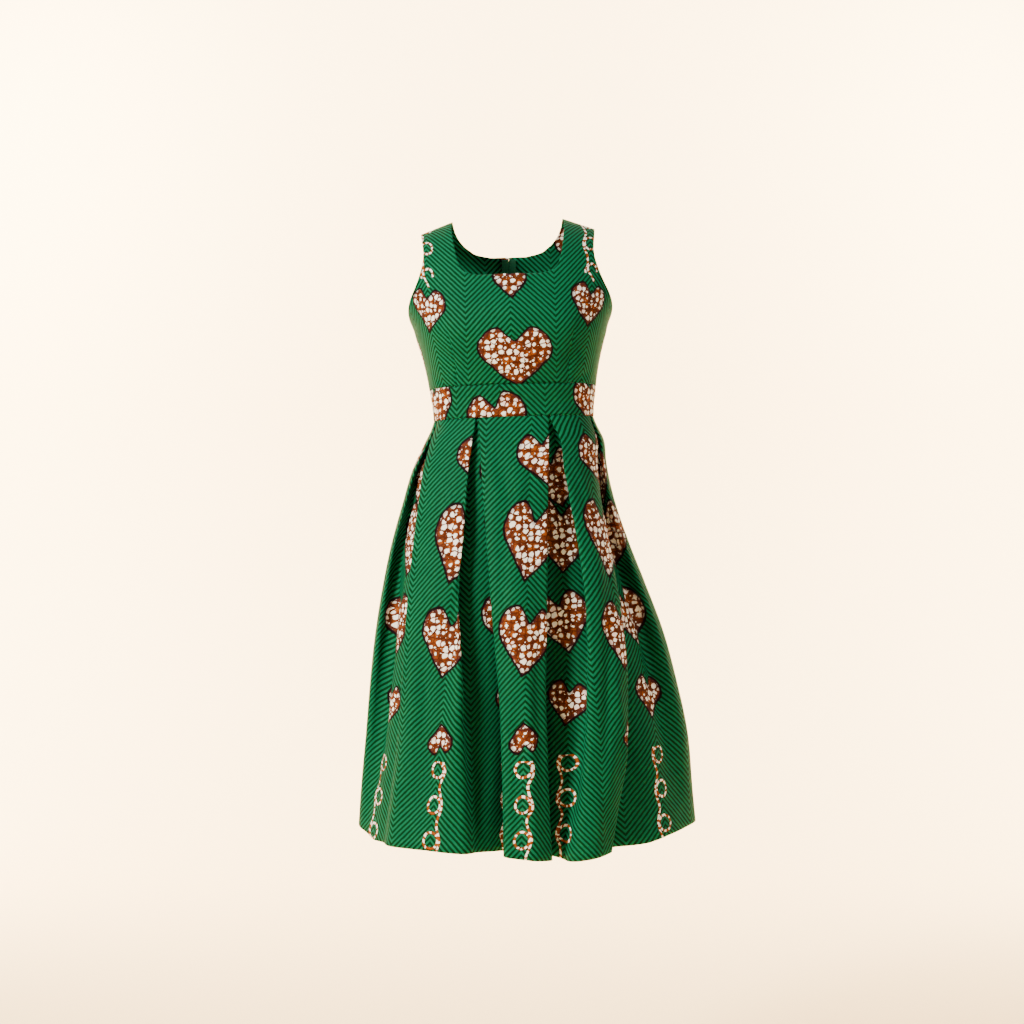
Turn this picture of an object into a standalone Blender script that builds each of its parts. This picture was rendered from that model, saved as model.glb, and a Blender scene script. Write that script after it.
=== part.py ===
"""A sleeveless dress of wax-printed cotton: a fitted bodice, a waistband and a knee-length skirt
hung in inverted box pleats, standing open and hollow in the form it takes when it is worn.

Frame: metres, +Z up, the front faces -Y and the wearer's left is +X.  The origin lies midway
between the shoulder seams, which carry the dress.  Heights are written as drops, measured down
from the origin along the dress, and the whole dress leans a little to one side.
"""
from collections import namedtuple
from math import asin, cos, pi, radians, sin

import bmesh
import bpy
import numpy as np
from mathutils import Matrix, Vector

# ---------------------------------------------------------------- driving sizes
WALL = 0.0012              # thickness of a cloth wall
SEAM = 0.0003              # the gap that two pieces keep where they are sewn
LEAN = radians(1.8)        # the hem stands this far out to the wearer's left
LEANING = Matrix.Rotation(-LEAN, 4, "Y")

BAND_TOP = 0.260           # drop of the seam between bodice and waistband
WAIST = 0.308              # drop of the seam between waistband and skirt
HEM = 0.952                # drop of the hem at the centre front
SQUARENESS = 0.03          # how far a level section is filled out towards its corners

UNDERARM = 0.165           # drop of the lowest point of the armhole
SHOULDER_SLOPE = 0.36      # fall of the shoulder seam from neck to arm, as a gradient
SHOULDER_INNER = 0.085     # half the distance between the inner ends of the shoulder seams
DART_FULLNESS = 0.006      # how far the waist darts throw the cloth out over the bust
DART_PLACE = 0.088         # distance of each dart from the centre front
DART_TIP = 0.172           # drop of the fullest level above the darts
DART_SPREAD = 0.036        # spread of that fullness, across and down

# The hollow form that the cloth stands on: half widths to the wearer's right and left, and the
# reach of the front and of the back from the plane through the shoulder seams.
Section = namedtuple("Section", "drop right left front back")
FORM = [
    Section(0.000, 0.172, 0.172, 0.000, 0.000),
    Section(0.003, 0.172, 0.172, 0.017, 0.015),
    Section(0.009, 0.172, 0.172, 0.031, 0.027),
    Section(0.020, 0.171, 0.171, 0.047, 0.040),
    Section(0.035, 0.170, 0.170, 0.062, 0.053),
    Section(0.055, 0.169, 0.169, 0.077, 0.067),
    Section(0.086, 0.168, 0.168, 0.095, 0.082),
    Section(0.118, 0.165, 0.165, 0.109, 0.092),
    Section(0.140, 0.159, 0.159, 0.118, 0.097),
    Section(0.165, 0.150, 0.150, 0.124, 0.099),
    Section(0.182, 0.1455, 0.1455, 0.124, 0.098),
    Section(0.205, 0.139, 0.139, 0.119, 0.096),
    Section(0.235, 0.1325, 0.1325, 0.108, 0.092),
    Section(0.260, 0.1285, 0.1285, 0.098, 0.089),
    Section(0.290, 0.1245, 0.1245, 0.091, 0.0865),
    Section(0.308, 0.1240, 0.1240, 0.090, 0.086),
    Section(0.347, 0.1410, 0.1390, 0.104, 0.102),
    Section(0.378, 0.1560, 0.1410, 0.114, 0.114),
    Section(0.440, 0.1760, 0.1520, 0.130, 0.134),
    Section(0.513, 0.1970, 0.1740, 0.146, 0.153),
    Section(0.572, 0.2100, 0.1950, 0.157, 0.165),
    Section(0.657, 0.2250, 0.2230, 0.164, 0.182),
    Section(0.727, 0.2340, 0.2390, 0.170, 0.195),
    Section(0.812, 0.2430, 0.2540, 0.177, 0.206),
    Section(0.905, 0.2535, 0.2590, 0.183, 0.216),
    Section(0.952, 0.2580, 0.2620, 0.186, 0.220),
]

# Drop of the hem round the dress, by the angle from the centre front towards the wearer's left.
Hem = namedtuple("Hem", "angle drop")
HEM_LINE = [Hem(-180, 0.915), Hem(-130, 0.907), Hem(-105, 0.906), Hem(-88, 0.920),
            Hem(-68, 0.938), Hem(-55, 0.938), Hem(-32, 0.939), Hem(-16, 0.944), Hem(-7, 0.949),
            Hem(0, 0.953), Hem(7, 0.958), Hem(12, 0.962), Hem(17, 0.959), Hem(27, 0.954),
            Hem(32, 0.952), Hem(48, 0.951), Hem(63, 0.944), Hem(90, 0.938), Hem(110, 0.930),
            Hem(140, 0.918), Hem(180, 0.915)]

# Cut edges of the bodice: half widths at each drop.
Edge = namedtuple("Edge", "drop half")
FRONT_NECK = [Edge(0.000, 0.085), Edge(0.012, 0.0863), Edge(0.030, 0.0845), Edge(0.052, 0.081),
              Edge(0.072, 0.0767), Edge(0.0835, 0.072), Edge(0.0885, 0.0675), Edge(0.093, 0.060),
              Edge(0.0958, 0.048)]
BACK_NECK = [Edge(0.000, 0.085), Edge(0.012, 0.082), Edge(0.024, 0.075), Edge(0.036, 0.062),
             Edge(0.044, 0.046), Edge(0.0475, 0.028)]
FRONT_ARMHOLE = [Edge(0.000, 0.134), Edge(0.018, 0.132), Edge(0.035, 0.130), Edge(0.055, 0.1300),
                 Edge(0.070, 0.1330), Edge(0.085, 0.1375), Edge(0.100, 0.1435), Edge(0.118, 0.1515),
                 Edge(0.135, 0.1560), Edge(0.150, 0.1550), Edge(0.165, 0.1500)]
BACK_ARMHOLE = [Edge(0.000, 0.134), Edge(0.018, 0.133), Edge(0.035, 0.133), Edge(0.055, 0.134),
                Edge(0.070, 0.136), Edge(0.085, 0.139), Edge(0.100, 0.143), Edge(0.118, 0.149),
                Edge(0.135, 0.1530), Edge(0.150, 0.1545), Edge(0.165, 0.1500)]

# Each quarter of the skirt is laid out from its centre line to the side seam.  A pleat is two
# folds that face each other over an underlay: "in" is the fold nearer the centre, "out" the one
# nearer the side.  place is where they meet on the waist seam and a fold's depth is how far the
# cloth runs back under it.
Pleat = namedtuple("Pleat", "place depth_in depth_out")
# How a pleat hangs at the hem: where along the cloth its two folds have come to and how deep
# they are; how far the in fold draws in at mid height; the part of the panel before it where
# that panel turns down towards the fold; and the slopes, in degrees from the form, of that
# fall, of the cloth behind the in fold, of the underlay, of the cloth before the out fold and
# of the rise after it.
Hang = namedtuple("Hang", "fold_in fold_out depth_in depth_out nip crest "
                          "fall behind_in underlay behind_out rise")
Quarter = namedtuple("Quarter", "start way pleats hangs")
FRONT_PLEATS = [Pleat(0.055, 0.051, 0.045), Pleat(0.140, 0.033, 0.029)]
BACK_PLEATS = [Pleat(0.055, 0.040, 0.044), Pleat(0.138, 0.030, 0.028)]
QUARTERS = {
    "front_left": Quarter(0, 1, FRONT_PLEATS, [
        Hang(0.054, 0.142, 0.043, 0.025, 0.009, 0.14, 50, 109, 0, 75, 0),
        Hang(0.231, 0.461, 0.045, 0.020, 0.000, 0.35, 48, 139, 0, 5, 17)]),
    "front_right": Quarter(0, -1, FRONT_PLEATS, [
        Hang(0.042, 0.226, 0.068, 0.018, 0.006, 0.70, 48, 134, 45, 69, 0),
        Hang(0.368, 0.452, 0.006, 0.016, 0.000, 0.80, 0, 110, 13, 34, 7)]),
    "back_left": Quarter(pi, -1, BACK_PLEATS, [
        Hang(0.050, 0.200, 0.030, 0.011, 0.008, 0.40, 26, 140, 14, 60, 18),
        Hang(0.265, 0.385, 0.027, 0.009, 0.000, 0.50, 26, 122, 14, 50, 16)]),
    "back_right": Quarter(pi, 1, BACK_PLEATS, [
        Hang(0.058, 0.208, 0.031, 0.013, 0.008, 0.40, 26, 140, 14, 60, 18),
        Hang(0.288, 0.396, 0.028, 0.010, 0.000, 0.50, 26, 122, 14, 50, 16)]),
}
PLEAT_GAP = 0.003          # what the two folds of a pleat leave between them at the waist
LAYER_PITCH = 0.0024       # distance between folded layers at the waist
BEND_GROWTH = 0.020        # how much longer a fold's bend has grown by the hem
CREST_WIDTH = 0.35         # part of a panel over which it goes from its rise to its fall
ROW_POWER = 1.6            # rows stand closer together towards the waist
DRIFT_POWER = 1.6          # folds leave their waist line slowly at first
HELD = 0.02                # part of the skirt's length along which the pleats stay pressed flat
FOLD_POWER = 0.45          # then the in folds soon turn open
TURN_POWER = 1.2           # and the cloth beyond them later
SLACK_POWER = 0.8          # while the panels between them soon start to roll

# How finely the solids are divided.
SKIRT_ROWS = 12
BEND_COLUMNS = 4           # columns across a fold's bend
FILL = [2, 2, 4, 2, 4, 1, 2, 1, 1]      # columns added along each stretch between the bends
WALK_STEPS = 1400          # steps along the cloth when a row is laid out

ZIP_TOP = 0.050            # drop of the upper end of the zip tapes
ZIP_END = 0.500            # and of their lower end, inside the skirt
TAPE_WIDTH = 0.011
TAPE_WALL = 0.0010
TAPE_INSET = 0.0009        # clearance between the cloth and the tape behind it
SLIDER = (0.0052, 0.0090, 0.0020)       # width, length and height of the slider's body
SLIDER_DROP = 0.057        # drop of the slider's middle
LUG = (0.0008, 0.0026, 0.0030)          # thickness, length and height of each lug
KNUCKLE = 0.0030           # length of the pull tab's knuckle between the lugs
KNUCKLE_RADIUS = 0.0013
PIN_RADIUS = 0.00045
PULL = (0.0046, 0.0170, 0.0010)         # width, length and thickness of the pull tab

GREEN = (0.010, 0.235, 0.085, 1)
TAPE_GREEN = (0.012, 0.090, 0.045, 1)
ENAMEL = (0.015, 0.110, 0.055, 1)

COLLECTION = "wax_print_dress"


# ---------------------------------------------------------------- general helpers
def lerp(a, b, t):
    return a + (b - a) * t


def clear_scene():
    for old in list(bpy.data.objects):
        bpy.data.objects.remove(old, do_unlink=True)


def paint(name, colour, roughness, metallic=0.0):
    """A Principled material."""
    material = bpy.data.materials.new(name)
    material.use_nodes = True
    shader = material.node_tree.nodes["Principled BSDF"]
    shader.inputs["Base Color"].default_value = colour
    shader.inputs["Roughness"].default_value = roughness
    shader.inputs["Metallic"].default_value = metallic
    return material


def grid_object(name, rows, material, wall, keep=None):
    """A cloth piece: a grid bent through rows of points and given its wall.  The rows run down
    the piece and the points of a row run anticlockwise as seen from above; keep(row, column)
    says which cells of the grid belong to the cut piece."""
    row_count, column_count = len(rows), len(rows[0])
    mesh = bpy.data.meshes.new(name)
    bm = bmesh.new()
    bmesh.ops.create_grid(bm, x_segments=column_count - 1, y_segments=row_count - 1, size=1)
    bm.verts.ensure_lookup_table()
    for vert in bm.verts:
        column = round((vert.co.x + 1) / 2 * (column_count - 1))
        row = round((1 - vert.co.y) / 2 * (row_count - 1))
        vert.tag = True
        vert.co = LEANING @ Vector(rows[row][column])
        vert.index = row * column_count + column
    if keep:
        dropped = []
        for face in bm.faces:
            cells = [divmod(vert.index, column_count) for vert in face.verts]
            if not keep(min(cell[0] for cell in cells), min(cell[1] for cell in cells)):
                dropped.append(face)
        bmesh.ops.delete(bm, geom=dropped, context="FACES")
    bm.to_mesh(mesh)
    bm.free()
    mesh.shade_smooth()
    mesh.materials.append(material)
    piece = bpy.data.objects.new(name, mesh)
    bpy.data.collections[COLLECTION].objects.link(piece)
    shell = piece.modifiers.new("wall", "SOLIDIFY")
    shell.thickness = wall
    shell.offset = 0
    return piece


# ---------------------------------------------------------------- the hollow form
def section(drop):
    """Right, left, front and back reach of the form at a drop."""
    drops = [row.drop for row in FORM]
    return [np.interp(drop, drops, [row[k] for row in FORM]) for k in range(1, 5)]


def ring(angle, drop):
    """The level section of the form: angle 0 is the centre front and a quarter turn is the
    wearer's left side."""
    right, left, front, back = section(drop)
    half = np.where(np.sin(angle) < 0, right, left)
    reach = np.where(np.cos(angle) > 0, front, back)
    x = half * (np.sin(angle) + SQUARENESS * np.sin(3 * angle)) / (1 - SQUARENESS)
    y = -reach * (np.cos(angle) - SQUARENESS * np.cos(3 * angle)) / (1 - SQUARENESS)
    return x, y


def angle_at(x, drop):
    """The angle in a front quarter at which the section has reached x."""
    angles = np.linspace(0, pi / 2, 400)
    return float(np.interp(x, ring(angles, drop)[0], angles))


# ---------------------------------------------------------------- the bodice
def edge_at(edge, drop):
    return float(np.interp(drop, [row.drop for row in edge], [row.half for row in edge]))


def bodice_point(x, drop, back):
    """A point of the bodice at a distance x from its centre line."""
    side = 1 if x >= 0 else -1
    angle = angle_at(abs(x), drop)
    if back:
        angle = pi - angle
    px, py = (float(value) for value in ring(angle, drop))
    if not back:
        across = (abs(x) - DART_PLACE) / DART_SPREAD
        down = (drop - DART_TIP) / DART_SPREAD
        swell = DART_FULLNESS * np.exp(-across ** 2 - down ** 2)
        px += swell * sin(angle)
        py -= swell * cos(angle)
    fade = max(0.0, 1 - drop / UNDERARM)
    fall = SHOULDER_SLOPE * max(0.0, abs(x) - SHOULDER_INNER) * fade
    seam = SEAM / 2 if back else -SEAM / 2
    return side * px, py + seam, -(drop + fall)


def bodice_rows(neck, armhole, back, neck_columns, strap_columns):
    """Rows of one half of the bodice, from its centre line out to the armhole or side seam."""
    levels = sorted({row.drop for row in neck + armhole} | {0.003, 0.009, 0.182, 0.205, 0.235,
                                                           BAND_TOP - SEAM})
    rows = []
    for drop in levels:
        inner = edge_at(neck, drop)
        outer = edge_at(armhole, drop) if drop < UNDERARM else section(drop)[0]
        middle = list(np.linspace(0, inner, neck_columns + 1)[:-1])
        a, b = angle_at(inner, drop), angle_at(outer, drop)
        if drop >= UNDERARM:
            b = pi / 2
        strap = [float(ring(angle, drop)[0]) for angle in np.linspace(a, b, strap_columns + 1)]
        rows.append([bodice_point(x, drop, back) for x in middle + strap])
    return levels, rows


def build_bodice(cloth):
    neck_columns, strap_columns = 5, 6
    levels, half = bodice_rows(FRONT_NECK, FRONT_ARMHOLE, False, neck_columns, strap_columns)
    rows = [[(-x, y, z) for x, y, z in reversed(row)][:-1] + row for row in half]
    hollow = levels.index(FRONT_NECK[-1].drop)
    centre = neck_columns + strap_columns
    grid_object("bodice_front", rows, cloth, WALL,
                lambda row, column: row >= hollow or not -neck_columns <= column - centre
                < neck_columns)

    levels, half = bodice_rows(BACK_NECK, BACK_ARMHOLE, True, neck_columns, strap_columns)
    hollow = levels.index(BACK_NECK[-1].drop)
    left = [[(x + SEAM / 2, y, z) for x, y, z in reversed(row)] for row in half]
    right = [[(-x - SEAM / 2, y, z) for x, y, z in row] for row in half]
    grid_object("bodice_back_left", left, cloth, WALL,
                lambda row, column: row >= hollow or column < strap_columns)
    grid_object("bodice_back_right", right, cloth, WALL,
                lambda row, column: row >= hollow or column >= neck_columns)


# ---------------------------------------------------------------- the waistband
def band_rows(first, last, columns, shift):
    rows = []
    for drop in np.linspace(BAND_TOP, WAIST - SEAM, 4):
        x, y = ring(np.linspace(first, last, columns + 1), drop)
        rows.append([(a + shift[0], b + shift[1], -drop) for a, b in zip(x, y)])
    return rows


def build_waistband(cloth):
    gap = SEAM / 2
    grid_object("waistband_front", band_rows(-pi / 2, pi / 2, 28, (0, -gap)), cloth, WALL)
    grid_object("waistband_back_left", band_rows(pi / 2, pi, 14, (gap, gap)), cloth, WALL)
    grid_object("waistband_back_right", band_rows(pi, 3 * pi / 2, 14, (-gap, gap)), cloth, WALL)


# ---------------------------------------------------------------- the pleated skirt
Track = namedtuple("Track", "arc x y out_x out_y curve angle length")


def track(quarter, drop):
    """The form's section along a quarter, measured from its centre line and carried a little
    way past both ends: places, outward directions and curvature at each arc length."""
    turns = np.linspace(-0.6, pi / 2 + 0.5, 500)
    x, y = ring(quarter.start + quarter.way * turns, drop)
    arc = np.concatenate([[0], np.cumsum(np.hypot(np.diff(x), np.diff(y)))])
    arc -= np.interp(0, turns, arc)
    along_x, along_y = np.gradient(x, arc), np.gradient(y, arc)
    curve = np.abs(np.gradient(np.unwrap(np.arctan2(along_y, along_x)), arc))
    outward = np.sign(along_y * x - along_x * y)
    length = float(np.interp(pi / 2, turns, arc))
    return Track(arc, x, y, along_y * outward, -along_x * outward, curve, turns, length)


def quarter_cloth(quarter):
    """Width of the cloth in a quarter of the skirt, with all that its pleats take up."""
    taken = sum(2 * (p.depth_in + p.depth_out) + PLEAT_GAP for p in quarter.pleats)
    return track(quarter, WAIST).length - PLEAT_GAP * len(quarter.pleats) + taken


def fold_marks(quarter, t, openness):
    """Where along the cloth each pleat has its four folds: the in fold, the two ends of the
    underlay and the out fold."""
    marks, taken, drift = [], 0.0, t ** DRIFT_POWER
    for pleat, hang in zip(quarter.pleats, quarter.hangs):
        width = 2 * (pleat.depth_in + pleat.depth_out) + PLEAT_GAP
        first = lerp(pleat.place - PLEAT_GAP / 2 + taken, hang.fold_in, drift)
        first -= hang.nip * sin(pi * t ** 1.3)
        last = lerp(pleat.place - PLEAT_GAP / 2 + taken + width, hang.fold_out, drift)
        taken += width - PLEAT_GAP
        depth_in = max(0.001, lerp(pleat.depth_in, hang.depth_in, openness))
        depth_out = max(0.001, lerp(pleat.depth_out, hang.depth_out, openness))
        marks.append((first, first + depth_in, last - depth_out, last))
    return marks


def bend_length(t):
    return LAYER_PITCH * pi / 2 + BEND_GROWTH * t ** 1.3


def headings(quarter, t, openness, places):
    """Direction of the cloth at each place, as its angle from the form's section: 0 along it,
    negative inwards.  The bends at the folds are rounded off."""
    cloth = places[-1]
    heading = np.zeros_like(places)
    unfolded = (max(0, t - HELD) / (1 - HELD)) ** FOLD_POWER
    turned, slack = t ** TURN_POWER, t ** SLACK_POWER

    def stretch(first, last, slope, slope_after=None, crest=0.5):
        inside = (places >= first) & (places <= last)
        if slope_after is None:
            heading[inside] = radians(slope)
            return
        part = (places[inside] - first) / max(last - first, 1e-6)
        over = np.clip((part - crest) / CREST_WIDTH + 0.5, 0, 1)
        heading[inside] = np.radians(lerp(slope, slope_after, over))

    panel, rise = 0.0, 0.0
    for hang, (m0, m1, m2, m3) in zip(quarter.hangs, fold_marks(quarter, t, openness)):
        stretch(panel, m0, slack * rise, -slack * hang.fall, hang.crest)
        stretch(m0, m1, -lerp(180, hang.behind_in, unfolded))
        stretch(m1, m2, turned * hang.underlay)
        stretch(m2, m3, lerp(180, hang.behind_out, turned))
        panel, rise = m3, hang.rise
    stretch(panel, cloth, slack * rise, 0)

    step = places[1] - places[0]
    wide = max(1, round(bend_length(t) / step))
    narrow = max(1, round(0.6 * bend_length(t) * t / step))
    kernel = np.convolve(np.ones(wide) / wide, np.ones(narrow) / narrow)
    pad = len(kernel)
    mirrored = np.concatenate([-heading[pad:0:-1], heading, -heading[-2:-pad - 2:-1]])
    return np.convolve(mirrored, kernel, "same")[pad:-pad]


def walk(quarter, t, openness, line):
    """Follows the cloth of one row: for each place along it, how far it has come along the
    section and how deep it lies inside."""
    places = np.linspace(0, quarter_cloth(quarter), WALK_STEPS)
    step = places[1]
    heading = headings(quarter, t, openness, places)
    middle = (heading[1:] + heading[:-1]) / 2
    depth = np.concatenate([[0], np.cumsum(np.sin(middle) * step)])
    depth -= depth[-1] * places / places[-1]
    forward = np.cos(middle) * step
    along = np.concatenate([[0], np.cumsum(forward)])
    for _ in range(2):
        curve = np.interp((along[1:] + along[:-1]) / 2, line.arc, line.curve)
        tight = 1 + curve * (depth[1:] + depth[:-1]) / 2
        along = np.concatenate([[0], np.cumsum(forward / tight)])
    return places, along, depth


def settle(quarter, levels):
    """How far the pleats stand open at each level: they open until the cloth goes round the
    form, come to their full hang towards the hem, and change evenly in between."""
    settled = []
    for t in levels:
        line = track(quarter, lerp(WAIST, HEM, t))
        shut, wide_open = -0.3, 1.3
        for _ in range(20):
            openness = (shut + wide_open) / 2
            places, along, depth = walk(quarter, t, openness, line)
            if along[-1] < line.length:
                shut = openness
            else:
                wide_open = openness
        settled.append(lerp(openness, 1, min(1, max(0, (t - 0.55) / 0.35))))
    for _ in range(3):
        padded = settled + [settled[-1]]
        for k in range(4, len(settled)):
            settled[k] = (padded[k - 1] + 2 * padded[k] + padded[k + 1]) / 4
    return settled


def hem_drop(angle):
    """Drop of the hem at an angle round the dress."""
    turned = (np.degrees(angle) + 180) % 360 - 180
    return np.interp(turned, [mark.angle for mark in HEM_LINE], [mark.drop for mark in HEM_LINE])


def lay_row(quarter, t, openness):
    """One level of a quarter: where its cloth lies, place by place."""
    line = track(quarter, lerp(WAIST, HEM, t))
    places, along, depth = walk(quarter, t, openness, line)
    along *= line.length / along[-1]
    x = np.interp(along, line.arc, line.x) + depth * np.interp(along, line.arc, line.out_x)
    y = np.interp(along, line.arc, line.y) + depth * np.interp(along, line.arc, line.out_y)
    angle = quarter.start + quarter.way * np.interp(along, line.arc, line.angle)
    z = -lerp(WAIST, hem_drop(angle), t)
    return places, np.stack([x, y, z], axis=1)


def column_places(quarter, t, openness):
    """Where along the cloth the mesh has its columns: across every bend and between them."""
    marks = [mark for pleat in fold_marks(quarter, t, openness) for mark in pleat]
    ends = [0.0] + marks + [quarter_cloth(quarter)]
    reach = [0.0]
    for before, mark, after in zip(ends, ends[1:], ends[2:]):
        reach.append(min(bend_length(t) / 2, 0.45 * (mark - before), 0.45 * (after - mark)))
    reach.append(0.0)
    places = []
    for k in range(len(ends) - 1):
        places += list(np.linspace(ends[k] + reach[k], ends[k + 1] - reach[k + 1], FILL[k] + 2))
        if k < len(marks):
            bend = np.linspace(ends[k + 1] - reach[k + 1], ends[k + 1] + reach[k + 1],
                               BEND_COLUMNS)
            places += list(bend[1:-1])
    return places


def quarter_rows(name, shift):
    """All the levels of a quarter, from waist to hem."""
    quarter = QUARTERS[name]
    rows = []
    levels = [(k / SKIRT_ROWS) ** ROW_POWER for k in range(SKIRT_ROWS + 1)]
    for t, openness in zip(levels, settle(quarter, levels)):
        places, points = lay_row(quarter, t, openness)
        columns = column_places(quarter, t, openness)
        row = [tuple(np.interp(u, places, points[:, axis]) + shift[axis] for axis in range(3))
               for u in columns]
        rows.append(row)
    return rows


def build_skirt(cloth):
    gap = SEAM / 2
    front_right = quarter_rows("front_right", (0, -gap, 0))
    front_left = quarter_rows("front_left", (0, -gap, 0))
    front = [list(reversed(right))[:-1] + left for right, left in zip(front_right, front_left)]
    grid_object("skirt_front", front, cloth, WALL)
    back_left = quarter_rows("back_left", (gap, gap, 0))
    grid_object("skirt_back_left", [list(reversed(row)) for row in back_left], cloth, WALL)
    grid_object("skirt_back_right", quarter_rows("back_right", (-gap, gap, 0)), cloth, WALL)


# ---------------------------------------------------------------- the zip
def back_reach(drop):
    """Distance of the centre back seam behind the shoulder plane."""
    if drop > WAIST:
        drop = WAIST + (drop - WAIST) * (HEM - WAIST) / (HEM_LINE[0].drop - WAIST)
    return section(drop)[3]


def back_normal(drop):
    """Outward direction of the centre back, as its y and z parts."""
    rise = (back_reach(drop + 0.002) - back_reach(drop - 0.002)) / 0.004
    size = (1 + rise ** 2) ** 0.5
    return 1 / size, rise / size


def build_tapes(tape):
    """The two tapes of the concealed zip, lying behind the centre back seam."""
    inset = WALL / 2 + TAPE_INSET + TAPE_WALL / 2
    drops = [ZIP_TOP, 0.055, 0.070, 0.086, 0.100, 0.118, 0.140, 0.165, 0.182, 0.205, 0.235,
             0.260, 0.290, 0.308, 0.320, 0.345, 0.375, 0.410, 0.455, ZIP_END]
    for name, side in (("zip_tape_left", 1), ("zip_tape_right", -1)):
        rows = []
        for drop in drops:
            out_y, out_z = back_normal(drop)
            y = back_reach(drop) + SEAM / 2 - inset * out_y
            z = -drop - inset * out_z
            across = [TAPE_WIDTH, TAPE_WIDTH / 2, SEAM]
            if side < 0:
                across = [-value for value in reversed(across)]
            bow = [0.5 * x * x / 0.11 for x in across]
            rows.append([(x, y - dip, z) for x, dip in zip(across, bow)])
        grid_object(name, rows, tape, TAPE_WALL)


def add_block(size, centre, name):
    bpy.ops.mesh.primitive_cube_add(size=1, location=(0, 0, 0))
    block = bpy.context.active_object
    block.name = name
    for vert in block.data.vertices:
        vert.co = [centre[k] + vert.co[k] * size[k] for k in range(3)]
    return block


def add_rod(radius, length, centre, name, sides=20):
    """A rod along X."""
    bpy.ops.mesh.primitive_cylinder_add(vertices=sides, radius=radius, depth=length,
                                        rotation=(0, pi / 2, 0))
    rod = bpy.context.active_object
    rod.name = name
    bpy.ops.object.transform_apply(rotation=True)
    for vert in rod.data.vertices:
        vert.co = [vert.co[k] + centre[k] for k in range(3)]
    return rod


def combine(target, other, operation):
    """Applies a Boolean to a mesh and removes the other object."""
    modifier = target.modifiers.new("cut", "BOOLEAN")
    modifier.operation = operation
    modifier.solver = "EXACT"
    modifier.object = other
    bpy.context.view_layer.update()
    evaluated = target.evaluated_get(bpy.context.evaluated_depsgraph_get())
    mesh = bpy.data.meshes.new_from_object(evaluated)
    target.modifiers.clear()
    target.data = mesh
    bpy.data.objects.remove(other, do_unlink=True)


def build_slider(enamel):
    """The slider at the top of the seam and the pull tab that hangs from it.  Both are made flat,
    with Y down the seam's slope and Z out from the cloth, on the line of the tab's pin."""
    pin_height = SLIDER[2] + SEAM + KNUCKLE_RADIUS
    slider = add_block(SLIDER, (0, 0, SLIDER[2] / 2 - pin_height), "zip_slider")
    lug_x = KNUCKLE / 2 + SEAM + LUG[0] / 2
    sink = 0.0004
    for side in (-1, 1):
        lug = add_block((LUG[0], LUG[1], LUG[2] + sink),
                        (side * lug_x, 0, SLIDER[2] - pin_height + (LUG[2] - sink) / 2), "lug")
        combine(slider, lug, "UNION")
    pin = add_rod(PIN_RADIUS, 2 * lug_x, (0, 0, 0), "pin")
    combine(slider, pin, "UNION")

    pull = add_rod(KNUCKLE_RADIUS, KNUCKLE, (0, 0, 0), "zip_pull")
    plate_z = -KNUCKLE_RADIUS + PULL[2] / 2
    neck = add_block((KNUCKLE, 0.005, PULL[2]), (0, 0.0025, plate_z), "neck")
    combine(pull, neck, "UNION")
    plate = add_block((PULL[0], PULL[1] - 0.004, PULL[2] - 0.0001),
                      (0, 0.004 + (PULL[1] - 0.004) / 2, plate_z), "plate")
    bevel = plate.modifiers.new("round", "BEVEL")
    bevel.width = 0.0015
    bevel.segments = 3
    bevel.affect = "EDGES"
    bevel.limit_method = "WEIGHT"
    weights = plate.data.attributes.new("bevel_weight_edge", "FLOAT", "EDGE")
    for edge in plate.data.edges:
        first, last = (plate.data.vertices[k].co for k in edge.vertices)
        weights.data[edge.index].value = 1.0 if abs(first.z - last.z) > PULL[2] / 2 else 0.0
    combine(pull, plate, "UNION")
    bore = add_rod(PIN_RADIUS + SEAM, 2 * KNUCKLE, (0, 0, 0), "bore")
    combine(pull, bore, "DIFFERENCE")

    out_y, out_z = back_normal(SLIDER_DROP)
    lift = WALL / 2 + SEAM + pin_height
    place = (0, back_reach(SLIDER_DROP) + SEAM / 2 + lift * out_y, -SLIDER_DROP + lift * out_z)
    tilt = Matrix.Rotation(asin(out_z) - pi / 2, 4, "X")
    home = bpy.data.collections[COLLECTION]
    for piece in (slider, pull):
        piece.data.materials.clear()
        piece.data.materials.append(enamel)
        piece.matrix_world = LEANING @ Matrix.Translation(place) @ tilt
        for collection in list(piece.users_collection):
            collection.objects.unlink(piece)
        home.objects.link(piece)


def build_dress():
    clear_scene()
    home = bpy.data.collections.new(COLLECTION)
    bpy.context.scene.collection.children.link(home)
    cloth = paint("wax_print_cotton", GREEN, 0.62)
    tape = paint("zip_tape", TAPE_GREEN, 0.75)
    enamel = paint("zip_enamel", ENAMEL, 0.35, 0.4)

    build_bodice(cloth)
    build_waistband(cloth)
    build_skirt(cloth)
    build_tapes(tape)
    build_slider(enamel)


build_dress()
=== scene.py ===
# %% [markdown]
# # A wax print dress
# A sleeveless cotton dress with a pleated skirt, modelled as thin sheets of cloth that are laid
# out from their own cut.  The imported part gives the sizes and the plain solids.  This lesson
# bends a fine sheet through the same form for each cut piece, prints it, and sews it up.

from collections import namedtuple
from math import cos, pi, radians, sin

import bmesh
import bpy
import numpy as np
from mathutils import Matrix, Vector


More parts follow.
